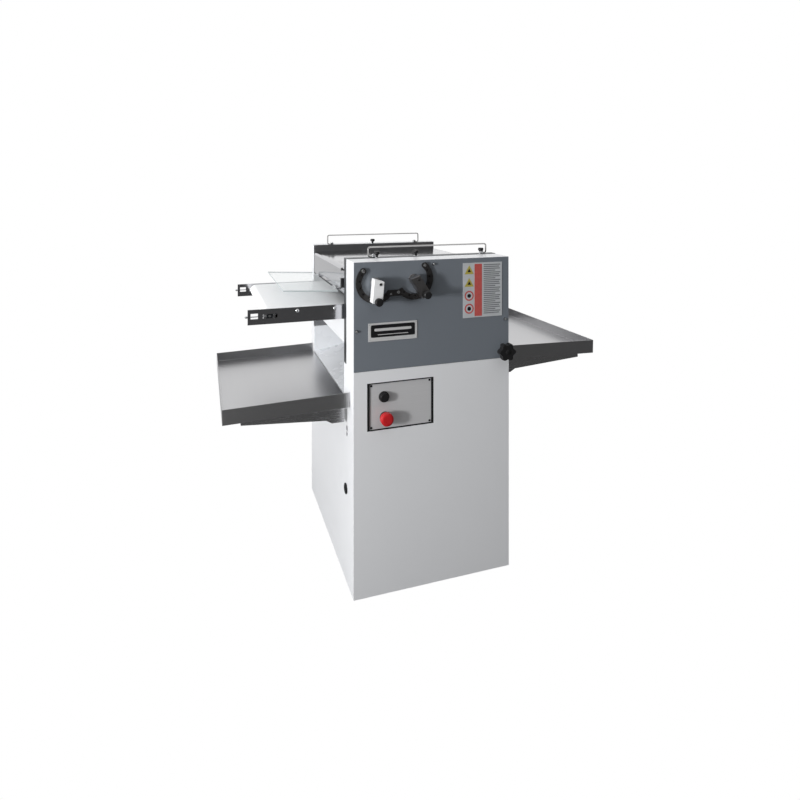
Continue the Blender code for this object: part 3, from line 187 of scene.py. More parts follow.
def powder_coat(name, colour, roughness, corners=None):
    """Sprayed and baked paint: fine orange peel, slow colour drift, and worn corners on a box."""
    material, tree, shader = new_material(name, colour, roughness)
    result = vary(tree, shader, colour, 0.012, 3.0)
    if corners is not None:
        worn = edge_mask(tree, corners, 0.0022)
        result = mixed(tree, worn, result, shade(colour, 0.72))
        tree.links.new(result, shader.inputs["Base Color"])
    patches = spread(tree, noise(tree, (14.0,) * 3, 4.0), roughness - 0.05, roughness + 0.06)
    tree.links.new(patches, shader.inputs["Roughness"])
    add_bump(tree, shader, noise(tree, (620.0,) * 3, 2.0), 0.00006, 0.5)
    shader.inputs["Coat Weight"].default_value = 0.12
    shader.inputs["Coat Roughness"].default_value = 0.22
    return material


def brushed_steel(name, colour, roughness, along, streak=0.5):
    """Stainless sheet with its grain along one axis (0, 1 or 2)."""
    material, tree, shader = new_material(name, colour, roughness, 1.0)
    fine = [900.0, 900.0, 900.0]
    fine[along] = 9.0
    broad = [90.0, 90.0, 90.0]
    broad[along] = 2.5
    grain = noise(tree, fine, 4.0, 0.6)
    bands = noise(tree, broad, 3.0)
    darker = shade(colour, 1.0 - 0.16 * streak)
    lighter = shade(colour, 1.0 + 0.10 * streak)
    tone = mixed(tree, spread(tree, grain, 0.0, 1.0), darker, lighter)
    tree.links.new(tone, shader.inputs["Base Color"])
    gloss = arithmetic(
        tree,
        "ADD",
        spread(tree, grain, -0.10 * streak, 0.12 * streak),
        spread(tree, bands, roughness - 0.08 * streak, roughness + 0.10 * streak),
    )
    tree.links.new(gloss, shader.inputs["Roughness"])
    add_bump(tree, shader, grain, 0.00003, 0.35 * streak)
    return material


def polished_wire():
    """Drawn stainless wire with faint marks round it."""
    colour = (0.62, 0.61, 0.60)
    material, tree, shader = new_material("polished_wire", colour, 0.16, 1.0)
    marks = noise(tree, (700.0, 700.0, 700.0), 3.0)
    tree.links.new(spread(tree, marks, 0.12, 0.24), shader.inputs["Roughness"])
    vary(tree, shader, colour, 0.05, 60.0)
    return material


def zinc_screw():
    """Bright plated fastener with a dull, slightly mottled skin."""
    colour = (0.66, 0.67, 0.68)
    material, tree, shader = new_material("zinc_screw", colour, 0.28, 1.0)
    vary(tree, shader, colour, 0.10, 900.0)
    tree.links.new(spread(tree, noise(tree, (1500.0,) * 3), 0.20, 0.38), shader.inputs["Roughness"])
    return material


def moulded_plastic(name, colour, roughness, grain):
    """Injection-moulded plastic with a spark-eroded grain; grain is the bump's strength."""
    material, tree, shader = new_material(name, colour, roughness)
    vary(tree, shader, colour, 0.08, 120.0)
    add_bump(tree, shader, noise(tree, (1400.0,) * 3, 2.0), 0.00005, grain)
    patches = spread(tree, noise(tree, (90.0,) * 3), roughness - 0.06, roughness + 0.06)
    tree.links.new(patches, shader.inputs["Roughness"])
    shader.inputs["Specular IOR Level"].default_value = 0.25
    return material


def belt_fabric():
    """Coated food belt: a fine plain weave under a matt skin, with one vulcanised joint across it."""
    colour = (0.84, 0.85, 0.86)
    material, tree, shader = new_material("belt_fabric", colour, 0.62)
    waves = []
    for direction in ("X", "Y"):
        wave = tree.nodes.new("ShaderNodeTexWave")
        wave.bands_direction = direction
        wave.inputs["Scale"].default_value = 1.0
        tree.links.new(stretched(tree, (330.0,) * 3), wave.inputs["Vector"])
        waves.append(wave.outputs["Fac"])
    weave = arithmetic(tree, "MULTIPLY", *waves)
    add_bump(tree, shader, weave, 0.00012, 0.35)
    clouds = spread(tree, noise(tree, (7.0, 3.0, 7.0), 4.0), 0.0, 1.0)
    base = mixed(tree, clouds, shade(colour, 0.975), colour)
    place = tree.nodes.new("ShaderNodeTexCoord")
    split = tree.nodes.new("ShaderNodeSeparateXYZ")
    tree.links.new(place.outputs["Object"], split.inputs["Vector"])
    slant = arithmetic(tree, "MULTIPLY_ADD", split.outputs["Y"], 0.35, split.outputs["X"])
    off_joint = arithmetic(tree, "ABSOLUTE", arithmetic(tree, "SUBTRACT", slant, -0.40))
    joint = spread(tree, off_joint, 1.0, 0.0, 0.0004, 0.0011)
    base = mixed(tree, joint, base, shade(colour, 0.86))
    tree.links.new(base, shader.inputs["Base Color"])
    shader.inputs["Sheen Weight"].default_value = 0.08
    return material


def clear_sheet():
    """Clear polycarbonate with faint wiping marks."""
    material, tree, shader = new_material("clear_sheet", (0.90, 0.95, 0.96), 0.06)
    shader.inputs["Alpha"].default_value = 0.30
    smears = spread(tree, noise(tree, (30.0, 9.0, 30.0), 5.0, 0.7), 0.04, 0.12)
    tree.links.new(smears, shader.inputs["Roughness"])
    return material


def satin_plate(name, colour, roughness, metallic):
    """Anodised or printed plate with an almost invisible grain along X."""
    material, tree, shader = new_material(name, colour, roughness, metallic)
    grain = noise(tree, (8.0, 700.0, 700.0), 3.0)
    tone = mixed(tree, spread(tree, grain, 0.0, 1.0), shade(colour, 0.96), shade(colour, 1.04))
    tree.links.new(tone, shader.inputs["Base Color"])
    tree.links.new(spread(tree, grain, roughness - 0.05, roughness + 0.05), shader.inputs["Roughness"])
    return material


def hammered_enamel():
    """Thick motor enamel with a soft cast texture under it."""
    colour = (0.075, 0.11, 0.15)
    material, tree, shader = new_material("hammered_enamel", colour, 0.38)
    vary(tree, shader, colour, 0.10, 25.0)
    add_bump(tree, shader, noise(tree, (260.0,) * 3, 3.0), 0.0003, 0.4)
    return material


def oiled_chain():
    colour = (0.20, 0.19, 0.17)
    material, tree, shader = new_material("oiled_chain", colour, 0.30, 1.0)
    vary(tree, shader, colour, 0.35, 160.0)
    tree.links.new(spread(tree, noise(tree, (300.0,) * 3), 0.18, 0.50), shader.inputs["Roughness"])
    return material


def make_materials():
    paint = (0.80, 0.81, 0.83)
    steel = (0.56, 0.56, 0.57)
    dark = (0.40, 0.395, 0.395)
    return {
        "cabinet_white": powder_coat("cabinet_white", paint, 0.36, CABINET),
        "cover_white": powder_coat("cover_white", paint, 0.36, COVER),
        "white": powder_coat("white", paint, 0.38),
        # The chute's whiter, bluer paint is painted reflection: the bright room seen in the chute, put into
        # its colour
        "chute_painted_reflection": powder_coat("chute_painted_reflection", (0.93, 0.95, 0.98), 0.26),
        "grey": powder_coat("grey", (0.172, 0.192, 0.218), 0.40, PANEL),
        "black_paint": powder_coat("black_paint", (0.018, 0.017, 0.017), 0.42),
        "steel_x": brushed_steel("steel_x", steel, 0.24, 0),
        "steel_y": brushed_steel("steel_y", steel, 0.26, 1),
        "mirror_steel": brushed_steel("mirror_steel", (0.52, 0.52, 0.54), 0.11, 0, 0.2),
        "tray_steel": brushed_steel("tray_steel", (0.54, 0.54, 0.55), 0.30, 1, 0.10),
        # The two lever arms are alike: the first is painted near white as a painted highlight, the second
        # dark grey as painted shade
        "lever_painted_highlight": satin_plate("lever_painted_highlight", (0.94, 0.95, 0.96), 0.42, 0.1),
        "lever_painted_shade": brushed_steel("lever_painted_shade", (0.30, 0.29, 0.29), 0.34, 2),
        "ground_steel": brushed_steel("ground_steel", (0.42, 0.42, 0.43), 0.32, 0),
        # Near-black steel for the front side plate and tension blocks, much darker than the steel given to
        # the rear side plate
        "near_black_steel": brushed_steel("near_black_steel", (0.060, 0.066, 0.074), 0.34, 0, 0.6),
        "machined": brushed_steel("machined", dark, 0.30, 1, 0.8),
        "wire": polished_wire(),
        "screw": zinc_screw(),
        "black_plastic": moulded_plastic("black_plastic", (0.014, 0.014, 0.015), 0.42, 0.4),
        "red_plastic": moulded_plastic("red_plastic", (0.52, 0.018, 0.022), 0.30, 0.1),
        "yellow_print": moulded_plastic("yellow_print", (0.45, 0.38, 0.08), 0.45, 0.05),
        "red_print": moulded_plastic("red_print", (0.52, 0.10, 0.09), 0.45, 0.05),
        "grey_print": moulded_plastic("grey_print", (0.20, 0.21, 0.22), 0.45, 0.05),
        "black_print": moulded_plastic("black_print", (0.012, 0.012, 0.013), 0.35, 0.05),
        "belt": belt_fabric(),
        "clear": clear_sheet(),
        # Painted shade on the clear guard's rim
        "guard_rim_painted_shade": moulded_plastic("guard_rim_painted_shade", (0.42, 0.47, 0.48), 0.25, 0.05),
        "placard": satin_plate("placard", (0.56, 0.58, 0.60), 0.42, 0.1),
        "satin_silver": satin_plate("satin_silver", (0.74, 0.74, 0.74), 0.34, 0.3),
        "control_face": satin_plate("control_face", (0.58, 0.58, 0.59), 0.45, 0.1),
        "enamel": hammered_enamel(),
        "chain": oiled_chain(),
    }


MATERIALS = make_materials()


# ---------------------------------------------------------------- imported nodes


NODE_LOOKS = {
    "cabinet_white": ("cabinet_shell",),
    "cover_white": ("front_cover",),
    "white": ("cabinet_floor", "cabinet_back", "rear_cover", "left_skirt"),
    "chute_painted_reflection": ("discharge_chute",),
    "grey": ("front_panel",),
    "black_paint": ("lever_quadrant",),
    "ground_steel": ("rear_side_plate",),
    "near_black_steel": ("front_side_plate", "tension_block_front", "tension_block_rear"),
    "mirror_steel": ("hood", "conveyor_plate_front", "conveyor_plate_rear"),
    "steel_x": ("conveyor_bed", "left_tray_frame", "right_tray_frame"),
    "steel_y": (
        "tie_bar",
        "nose_roller",
        "belt_drive_roller",
        "lower_roller_1",
        "lower_roller_2",
        "upper_roller_1",
        "upper_roller_2",
        "scraper_1",
        "scraper_2",
        "transfer_plate",
    ),
    "tray_steel": ("left_tray", "right_tray"),
    # The same lever in two colours: painted highlight on the first arm, painted shade on the second
    "lever_painted_highlight": ("lever_arm_1",),
    "lever_painted_shade": ("lever_arm_2",),
    "machined": (
        "gap_block_1_front",
        "gap_block_1_rear",
        "gap_block_2_front",
        "gap_block_2_rear",
        "lever_shaft_1",
        "lever_shaft_2",
        "drive_sprocket",
    ),
    "screw": ("tension_screw_front", "tension_screw_rear"),
    "wire": ("front_rail", "rear_rail"),
    "belt": ("infeed_belt",),
    "clear": ("infeed_guard",),
    "black_plastic": (
        "cable_gland",
        "control_housing",
        "guard_switch",
        "lever_knob_1",
        "lever_knob_2",
        "star_knob",
        "push_button",
    ),
    "red_plastic": ("estop_button",),
    "satin_silver": ("nameplate",),
    "placard": ("info_placard",),
    "control_face": ("control_plate",),
    "enamel": ("gearbox", "motor"),
    "chain": ("drive_chain",),
}

# Edge radii: folded sheet, thick plate and machined pieces; the rest get the small default
EDGE_RADIUS = {
    "cabinet_shell": 0.0022,
    "front_cover": 0.0016,
    "rear_cover": 0.0016,
    "left_tray": 0.0006,
    "right_tray": 0.0006,
    "front_panel": 0.0005,
    "lever_arm_1": 0.0018,
    "lever_arm_2": 0.0018,
    "lever_quadrant": 0.0010,
    "star_knob": 0.0022,
    "gearbox": 0.004,
    "infeed_guard": 0.0005,
    "control_plate": 0.0003,
    "nameplate": 0.0004,
    "info_placard": 0.0003,
}
NO_EDGE_BEVEL = ("infeed_belt", "front_rail", "rear_rail", "drive_chain", "hood")
DEFAULT_EDGE = 0.0004


def soften(piece, radius, segments=2):
    """Rounds a node's hard edges without moving its own vertices."""
    mesh = piece.data
    if "custom_normal" in mesh.attributes:
        mesh.attributes.remove(mesh.attributes["custom_normal"])
    if "sharp_edge" in mesh.attributes:
        mesh.attributes.remove(mesh.attributes["sharp_edge"])
    for face in mesh.polygons:
        face.use_smooth = True
    weld = piece.modifiers.new("Weld", "WELD")
    weld.merge_threshold = 0.000002
    if radius:
        flatten = piece.modifiers.new("Flatten", "DECIMATE")
        flatten.decimate_type = "DISSOLVE"
        flatten.angle_limit = math.radians(0.4)
        bevel = piece.modifiers.new("Edges", "BEVEL")
        bevel.width = radius
        bevel.segments = segments
        bevel.limit_method = "ANGLE"
        bevel.angle_limit = ROUNDED_FROM
        bevel.use_clamp_overlap = True
        even = piece.modifiers.new("Even", "WEIGHTED_NORMAL")
        even.weight = 100
        even.keep_sharp = True
        return
    split = piece.modifiers.new("Sharp", "EDGE_SPLIT")
    split.split_angle = CREASED_FROM


def dress_nodes():
    for look, names in NODE_LOOKS.items():
        for name in names:
            piece = NODES[name]
            piece.data.materials.clear()
            piece.data.materials.append(MATERIALS[look])
            radius = 0.0 if name in NO_EDGE_BEVEL else EDGE_RADIUS.get(name, DEFAULT_EDGE)
            soften(piece, radius)


# ---------------------------------------------------------------- piece helpers


def add_piece(name, bm, look, body, bevel=0.0):
    """A finished piece from a mesh in world space, riding on a body."""
    mesh = bpy.data.meshes.new(name)
    bmesh.ops.recalc_face_normals(bm, faces=bm.faces)
    bm.to_mesh(mesh)
    bm.free()
    piece = bpy.data.objects.new(name, mesh)
    bpy.context.scene.collection.objects.link(piece)
    mesh.materials.append(MATERIALS[look])
    mesh.shade_smooth()
    mesh.set_sharp_from_angle(angle=CREASED_FROM)
    if bevel:
        modifier = piece.modifiers.new("Edges", "BEVEL")
        modifier.width = bevel
        modifier.segments = 2
        modifier.limit_method = "ANGLE"
        modifier.angle_limit = ROUNDED_FROM
    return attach(piece, body)


def turned_bm(profile, sides=32):
    """A body of revolution about +Z from (radius, height) points; both ends on the axis or open."""
    bm = bmesh.new()
    rings = []
    for radius, height in profile:
        if radius == 0.0:
            rings.append([bm.verts.new((0.0, 0.0, height))])
            continue
        ring = []
        for step in range(sides):
            angle = 2 * math.pi * step / sides
            ring.append(bm.verts.new((radius * math.cos(angle), radius * math.sin(angle), height)))
        rings.append(ring)
    for lower, upper in zip(rings, rings[1:]):
        for step in range(sides):
            ahead = (step + 1) % sides
            if len(lower) == 1:
                bm.faces.new((lower[0], upper[step], upper[ahead]))
            elif len(upper) == 1:
                bm.faces.new((lower[step], lower[ahead], upper[0]))
            else:
                bm.faces.new((lower[step], lower[ahead], upper[ahead], upper[step]))
    return bm


def aim(direction):
    """The turn that carries +Z to a direction."""
    return Vector(direction).to_track_quat("Z", "Y").to_matrix().to_4x4()


def merged(parts):
    """One mesh from several, each placed by its matrix."""
    whole = bmesh.new()
    for part, matrix in parts:
        part.transform(matrix)
        mesh = bpy.data.meshes.new("part")
        part.to_mesh(mesh)
        part.free()
        whole.from_mesh(mesh)
        bpy.data.meshes.remove(mesh)
    return whole


def scatter(name, make, places, direction, look, body):
    """The same small part at several places, as one piece."""
    turn = aim(direction)
    parts = [(make(), Matrix.Translation(Vector(place)) @ turn) for place in places]
    return add_piece(name, merged(parts), look, body)


def socket_head(radius=0.0040, height=0.0040):
    """A cap or button head with a six-sided socket."""
    socket = radius * 0.50
    depth = height * 0.55
    profile = (
        (radius * 0.98, 0.0),
        (radius, height * 0.15),
        (radius, height * 0.72),
        (radius * 0.90, height * 0.95),
        (radius * 0.80, height),
        (socket * 1.12, height),
        (socket, height * 0.94),
        (socket, height - depth),
        (0.0, height - depth * 1.15),
    )
    bm = turned_bm(profile, 24)
    for vertex in bm.verts:
        flat = Vector((vertex.co.x, vertex.co.y))
        if 0.0 < flat.length <= socket * 1.01:
            turned_by = math.atan2(flat.y, flat.x) % (math.pi / 3) - math.pi / 6
            scale = math.cos(math.pi / 6) / math.cos(turned_by)
            vertex.co.x *= scale
            vertex.co.y *= scale
    return bm


def dome_head(radius=0.0045, height=0.0026):
    """A low domed head with a round recess."""
    socket = radius * 0.42
    steps = 6
    reach = math.radians(72)
    profile = [(radius, 0.0)]
    for step in range(1, steps + 1):
        angle = reach * step / steps
        profile.append((radius * math.cos(angle), height * math.sin(angle) / math.sin(reach)))
    profile = [point for point in profile if point[0] > socket]
    profile += [(socket, height * 0.97), (socket * 0.96, height * 0.35), (0.0, height * 0.28)]
    return turned_bm(profile, 24)


def ring_bm(inner, outer, thickness, edge=0.0003, sides=48):
    """A flat washer on the plane z = 0."""
    profile = (
        (inner, 0.0),
        (outer, 0.0),
        (outer, thickness - edge),
        (outer - edge, thickness),
        (inner + edge, thickness),
        (inner, thickness - edge),
        (inner, 0.0),
    )
    bm = turned_bm(profile, sides)
    bmesh.ops.remove_doubles(bm, verts=bm.verts, dist=1e-6)
    return bm


def slab_bm(outline, thickness):
    """A flat shape from its (x, y) outline, between z = 0 and its thickness."""
    bm = bmesh.new()
    lower = [bm.verts.new((x, y, 0.0)) for x, y in outline]
    upper = [bm.verts.new((x, y, thickness)) for x, y in outline]
    bm.faces.new(lower[::-1])
    bm.faces.new(upper)
    for step in range(len(outline)):
        ahead = (step + 1) % len(outline)
        bm.faces.new((lower[step], lower[ahead], upper[ahead], upper[step]))
    return bm


def rounded_rectangle(width, height, radius, steps=5):
    outline = []
    corners = (
        (width / 2 - radius, height / 2 - radius, 0.0),
        (-width / 2 + radius, height / 2 - radius, 90.0),
        (-width / 2 + radius, -height / 2 + radius, 180.0),
        (width / 2 - radius, -height / 2 + radius, 270.0),
    )
    for x, y, start in corners:
        for step in range(steps + 1):
            angle = math.radians(start + 90.0 * step / steps)
            outline.append((x + radius * math.cos(angle), y + radius * math.sin(angle)))
    return outline


def box_bm(low, high):
    bm = bmesh.new()
    bmesh.ops.create_cube(bm, size=1.0)
    low, high = Vector(low), Vector(high)
    for vertex in bm.verts:
        vertex.co = (low + high) / 2 + Vector(c * s for c, s in zip(vertex.co, high - low))
    return bm


def on_front(x, z, y=None):
    """Placement of a flat (x, y) drawing on a plane facing the operator."""
    upright = Matrix.Rotation(math.radians(90), 4, "X")
    return Matrix.Translation((x, FRONT if y is None else y, z)) @ upright


# ---------------------------------------------------------------- front face


def panel_screws():
    """The three socket screws that hold the grey face, each on a black washer that is painted shadow round
    its head.
    """
    places = [(LEFT + 0.0086, 0.815), (LEFT + 0.5150, 0.818), (LEFT + 0.2610, 1.0104)]
    thick = 0.0012
    washers = [(x, FRONT, z) for x, z in places]
    heads = [(x, FRONT - thick, z) for x, z in places]
    # The black washers are painted shadow: a dark ring where the screws' shadows fall
    scatter(
        "panel_washers_painted_shadow",
        lambda: ring_bm(0.0016, 0.0046, thick),
        washers,
        -Y_AXIS,
        "black_plastic",
        "machine",
    )
    scatter("panel_screws", lambda: socket_head(0.0034, 0.0050), heads, -Y_AXIS, "screw", "machine")


def quadrant_screws():
    """Flush screws on the lever quadrant's tips and lug; the handles pass just in front of them."""
    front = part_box("lever_quadrant")[0].y
    flush = 0.0005
    radius = 0.0555
    lug_screw = (LEFT + 0.1415, front, 0.9289)
    places = [lug_screw]
    for side, degrees, axis in ((-1, 42.1, LEVER_AXES[0]), (1, 48.4, LEVER_AXES[1])):
        angle = math.radians(degrees)
        places.append((axis[0] + side * radius * math.cos(angle), front, axis[2] + radius * math.sin(angle)))
    scatter("quadrant_screws", lambda: dome_head(0.0048, flush), places, -Y_AXIS, "screw", "machine")
    set_screw = (LEFT + 0.1172, front, 0.9241)
    scatter("quadrant_set_screw", lambda: dome_head(0.0030, flush), [set_screw], -Y_AXIS, "screw", "machine")


def hub_discs():
    """A pale disc on the grey face round each lever's shaft."""
    places = [(axis[0], FRONT - CLEARANCE, axis[2]) for axis in LEVER_AXES]
    scatter("hub_discs", lambda: ring_bm(0.0086, 0.0155, 0.0025), places, -Y_AXIS, "machined", "machine")


def lever_details():
    """Collar behind each handle, the screw on its axis and the bush of its index pin."""
    aside = 0.0045
    disc = 0.0030
    for number, axis in enumerate(LEVER_AXES, 1):
        arm_low, arm_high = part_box(f"lever_arm_{number}")
        knob_low, knob_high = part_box(f"lever_knob_{number}")
        knob_x, knob_z = (knob_low.x + knob_high.x) / 2, (knob_low.z + knob_high.z) / 2
        body = f"lever_{number}"
        gap = FRONT - disc - arm_high.y
        collar_at = (axis[0], arm_high.y + gap, axis[2])
        scatter(
            f"lever_collar_{number}",
            lambda: ring_bm(0.0074, 0.0120, gap),
            [collar_at],
            -Y_AXIS,
            "machined",
            body,
        )
        across = Vector((axis[2] - knob_z, 0.0, knob_x - axis[0])).normalized() * aside
        screw_at = Vector((axis[0], arm_low.y, axis[2])) + across
        scatter(
            f"lever_axis_screw_{number}",
            lambda: socket_head(0.0042, 0.0022),
            [screw_at],
            -Y_AXIS,
            "black_paint",
            body,
        )
        scatter(
            f"lever_bush_{number}",
            lambda: ring_bm(0.0040, 0.0068, 0.0007),
            [(knob_x, arm_low.y, knob_z)],
            -Y_AXIS,
            "machined",
            body,
        )


def star_knob_cap():
    """The steel stud's end in the middle of the star knob."""
    low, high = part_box("star_knob")
    place = ((low.x + high.x) / 2, low.y, (low.z + high.z) / 2)
    scatter(
        "star_knob_cap",
        lambda: turned_bm(((0.0085, 0.0), (0.0085, 0.0008), (0.0070, 0.0020), (0.0, 0.0024)), 32),
        [place],
        -Y_AXIS,
        "black_plastic",
        "star_knob",
    )


def nameplate_face():
    """A plain black field with a raised silver rim and two rules, without any lettering."""
    low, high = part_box("nameplate")
    x, z = (low.x + high.x) / 2, (low.z + high.z) / 2
    width, height = high.x - low.x, high.z - low.z
    field = slab_bm(rounded_rectangle(width * 0.90, height * 0.68, 0.004), 0.0004)
    field_place = on_front(x, z + height * 0.06, low.y)
    add_piece("nameplate_field", merged([(field, field_place)]), "black_print", "machine")
    rules = []
    for row, share, tall in ((0.13, 0.76, 0.15), (-0.14, 0.62, 0.035)):
        rule = slab_bm(rounded_rectangle(width * share, height * tall, height * tall * 0.45, 3), 0.0003)
        rules.append((rule, on_front(x, z + height * row, low.y - 0.0004)))
    add_piece("nameplate_rules", merged(rules), "satin_silver", "machine")
    inset = 0.0042
    corners = [(sx * (width / 2 - inset), sz * (height / 2 - inset)) for sx in (-1, 1) for sz in (-1, 1)]
    rivets = [(x + dx, low.y, z + dz) for dx, dz in corners]
    scatter("nameplate_rivets", lambda: dome_head(0.0016, 0.0008), rivets, -Y_AXIS, "screw", "machine")


def placard_print():
    """Plain coloured marks on the placard: shapes at the left, a red band and grey lines, no words."""
    low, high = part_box("info_placard")
    width, height = high.x - low.x, high.z - low.z
    thick = 0.00025
    mark_x = low.x + width * 0.155
    rows = [low.z + height * share for share in (0.865, 0.635, 0.40, 0.165)]
    size = width * 0.115
    yellow, dark, red = [], [], []
    for z in rows[:2]:
        triangle = [(0.0, size), (-size, -size * 0.75), (size, -size * 0.75)]
        yellow.append((slab_bm(triangle, thick), on_front(mark_x, z, low.y)))
        inner = [(a * 0.40, b * 0.40 - size * 0.06) for a, b in triangle]
        dark.append((slab_bm(inner, thick), on_front(mark_x, z, low.y - thick)))
    for z in rows[2:]:
        ring_place = Matrix.Translation((mark_x, low.y, z)) @ aim(-Y_AXIS)
        red.append((ring_bm(size * 0.72, size, thick, 0.0001), ring_place))
        dot = rounded_rectangle(size * 0.8, size * 0.8, size * 0.39)
        dark.append((slab_bm(dot, thick), on_front(mark_x, z, low.y)))
    band = slab_bm(rounded_rectangle(width * 0.19, height * 0.955, 0.001), thick)
    red.append((band, on_front(low.x + width * 0.385, (low.z + high.z) / 2, low.y)))
    lines = []
    left_edge, right_edge = low.x + width * 0.52, low.x + width * 0.955
    for index in range(26):
        z = high.z - height * (0.045 + 0.0355 * index)
        share = (1.0, 0.93, 0.97, 0.70)[index % 4]
        line_width = (right_edge - left_edge) * share
        line = slab_bm(rounded_rectangle(line_width, height * 0.019, height * 0.008, 2), thick)
        lines.append((line, on_front(left_edge + line_width / 2, z, low.y)))
    add_piece("placard_yellow_marks", merged(yellow), "yellow_print", "machine")
    add_piece("placard_dark_marks", merged(dark), "black_print", "machine")
    add_piece("placard_red_marks", merged(red), "red_print", "machine")
    add_piece("placard_grey_lines", merged(lines), "grey_print", "machine")


def control_details():
    """Corner screws of the control plate and the collars round the two buttons."""
    low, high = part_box("control_plate")
    inset = 0.0055
    xs = (low.x + inset, high.x - inset)
    zs = (low.z + inset, high.z - inset)
    corners = [(x, low.y, z) for x in xs for z in zs]
    scatter(
        "control_plate_screws",
        lambda: dome_head(0.0036, 0.0018),
        corners,
        -Y_AXIS,
        "black_plastic",
        "machine",
    )
    button = centre_of("push_button")
    stop = centre_of("estop_button")
    scatter(
        "push_button_collar",
        lambda: ring_bm(0.0138, 0.0162, low.y - FRONT + 0.0050, 0.0006),
        [(button.x, low.y, button.z)],
        -Y_AXIS,
        "black_plastic",
        "machine",
    )
    scatter(
        "estop_collar",
        lambda: ring_bm(0.0135, 0.0165, low.y - FRONT + 0.0020, 0.0006),
        [(stop.x, low.y, stop.z)],
        -Y_AXIS,
        "black_plastic",
        "machine",
    )


def centre_of(node):
    low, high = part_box(node)
    return (low + high) / 2


# ---------------------------------------------------------------- rails


def rail_clamp(x, y, z):
    """A small block that holds a rail's foot, with its pinch screw."""
    return [
        (box_bm((-0.0055, -0.0050, 0.0), (0.0055, 0.0050, 0.0085)), Matrix.Translation((x, y, z))),
        (socket_head(0.0026, 0.0024), Matrix.Translation((x, y, z + 0.0085))),
    ]


def thumb_knob_bm():
    """A small black thumb knob: a shank under a round head."""
    profile = (
        (0.0, 0.0),
        (0.0036, 0.0),
        (0.0040, 0.0006),
        (0.0040, 0.0070),
        (0.0076, 0.0092),
        (0.0092, 0.0112),
        (0.0092, 0.0170),
        (0.0080, 0.0188),
        (0.0, 0.0192),
    )
    return turned_bm(profile, 24)


def rail_fittings():
    """Clamps at the feet of both wire rails and the thumb knobs between them."""
    for end in ("front", "rear"):
        low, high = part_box(f"{end}_rail")
        y = (low.y + high.y) / 2
        top = RIM_TOP if end == "front" else REAR_PLATE_TOP
        foot_x = (low.x + 0.020, high.x - 0.020)
        parts = []
        for x in foot_x:
            parts.extend(rail_clamp(x, y, top + CLEARANCE))
        add_piece(f"{end}_rail_clamps", merged(parts), "screw", "machine", 0.0006)
    front_y = centre_of("front_rail").y
    rear_y = centre_of("rear_rail").y
    knobs = [(LEFT + out, front_y, RIM_TOP + CLEARANCE) for out in (0.1050, 0.2400, 0.4797)]
    knobs.append((LEFT + 0.2500, rear_y, REAR_PLATE_TOP + CLEARANCE))
    scatter("rail_thumb_knobs", thumb_knob_bm, knobs, Z_AXIS, "black_plastic", "machine")
    scatter("rail_knob_washers", lambda: ring_bm(0.0042, 0.0082, 0.0010), knobs, Z_AXIS, "screw", "machine")


# ---------------------------------------------------------------- conveyor, hood and trays


def conveyor_screws():
    """Domed screws through both belt side plates."""
    for end, direction in (("front", -1), ("rear", 1)):
        low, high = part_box(f"conveyor_plate_{end}")
        y = low.y if direction < 0 else high.y
        xs = (LEFT - 0.150, LEFT - 0.030)
        places = [(x, y, high.z - 0.0110) for x in xs]
        scatter(
            f"conveyor_screws_{end}",
            lambda: dome_head(0.0054, 0.0028),
            places,
            Y_AXIS * direction,
            "screw",
            "machine",
        )


def guard_edges():
    """The sawn rim of the clear guard as grey-green strips darker than its faces: painted shade for the dark
    look its clear edge gets from the light it bends.
    """
    hinge = Vector(JOINTS["guard_swing"]["pos_m"])
    low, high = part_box("infeed_guard")
    half_sheet = 0.002
    rise = high.z - half_sheet - hinge.z
    reach = hinge.x - low.x
    tilt = math.atan2(rise, reach)
    place = Matrix.Translation(hinge) @ Matrix.Rotation(tilt, 4, "Y")
    half, rim, proud = 0.0017, 0.0008, 0.0002
    near, far = low.y - hinge.y, high.y - hinge.y
    outer, inner = -math.hypot(reach, rise) - proud, -0.0065
    strips = (
        ((outer, near, -half), (outer + rim, far, half)),
        ((outer, near - proud, -half), (inner, near + rim, half)),
        ((outer, far - rim, -half), (inner, far + proud, half)),
    )
    parts = [(box_bm(*corners), place.copy()) for corners in strips]
    add_piece("guard_edges", merged(parts), "guard_rim_painted_shade", "guard")


def hood_screw():
    """The black cap screw on the hood's left face, above the guard switch."""
    low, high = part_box("guard_switch")
    screw_height = 0.987
    place = (high.x + 0.0003, (low.y + high.y) / 2 + 0.001, screw_height)
    scatter("hood_screw", lambda: socket_head(0.0047, 0.0062), [place], -X_AXIS, "black_paint", "machine")


def gland_seal():
    """The rubber lip in the mouth of the cable inlet."""
    low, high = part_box("cable_gland")
    place = (low.x, (low.y + high.y) / 2, (low.z + high.z) / 2)
    scatter(
        "gland_seal",
        lambda: ring_bm(0.0062, 0.0120, 0.0012),
        [place],
        -X_AXIS,
        "black_print",
        "machine",
    )


def back_screws():
    """Cross-head screws round the cabinet's back sheet and on the rear cover."""
    low, high = BACK_SHEET
    inset = 0.014
    xs = [low.x + inset, 0.0, high.x - inset]
    zs = [low.z + 0.030, (low.z + high.z) / 2, high.z - inset]
    places = [(x, high.y, z) for x in xs for z in zs if x != 0.0 or z != zs[1]]
    scatter("back_sheet_screws", lambda: dome_head(0.0042, 0.0022), places, Y_AXIS, "screw", "machine")
    low, high = REAR_COVER
    xs = [low.x + inset, high.x - inset]
    zs = [low.z + inset, high.z - inset]
    places = [(x, high.y, z) for x in xs for z in zs]
    scatter("rear_cover_screws", lambda: dome_head(0.0042, 0.0022), places, Y_AXIS, "screw", "machine")


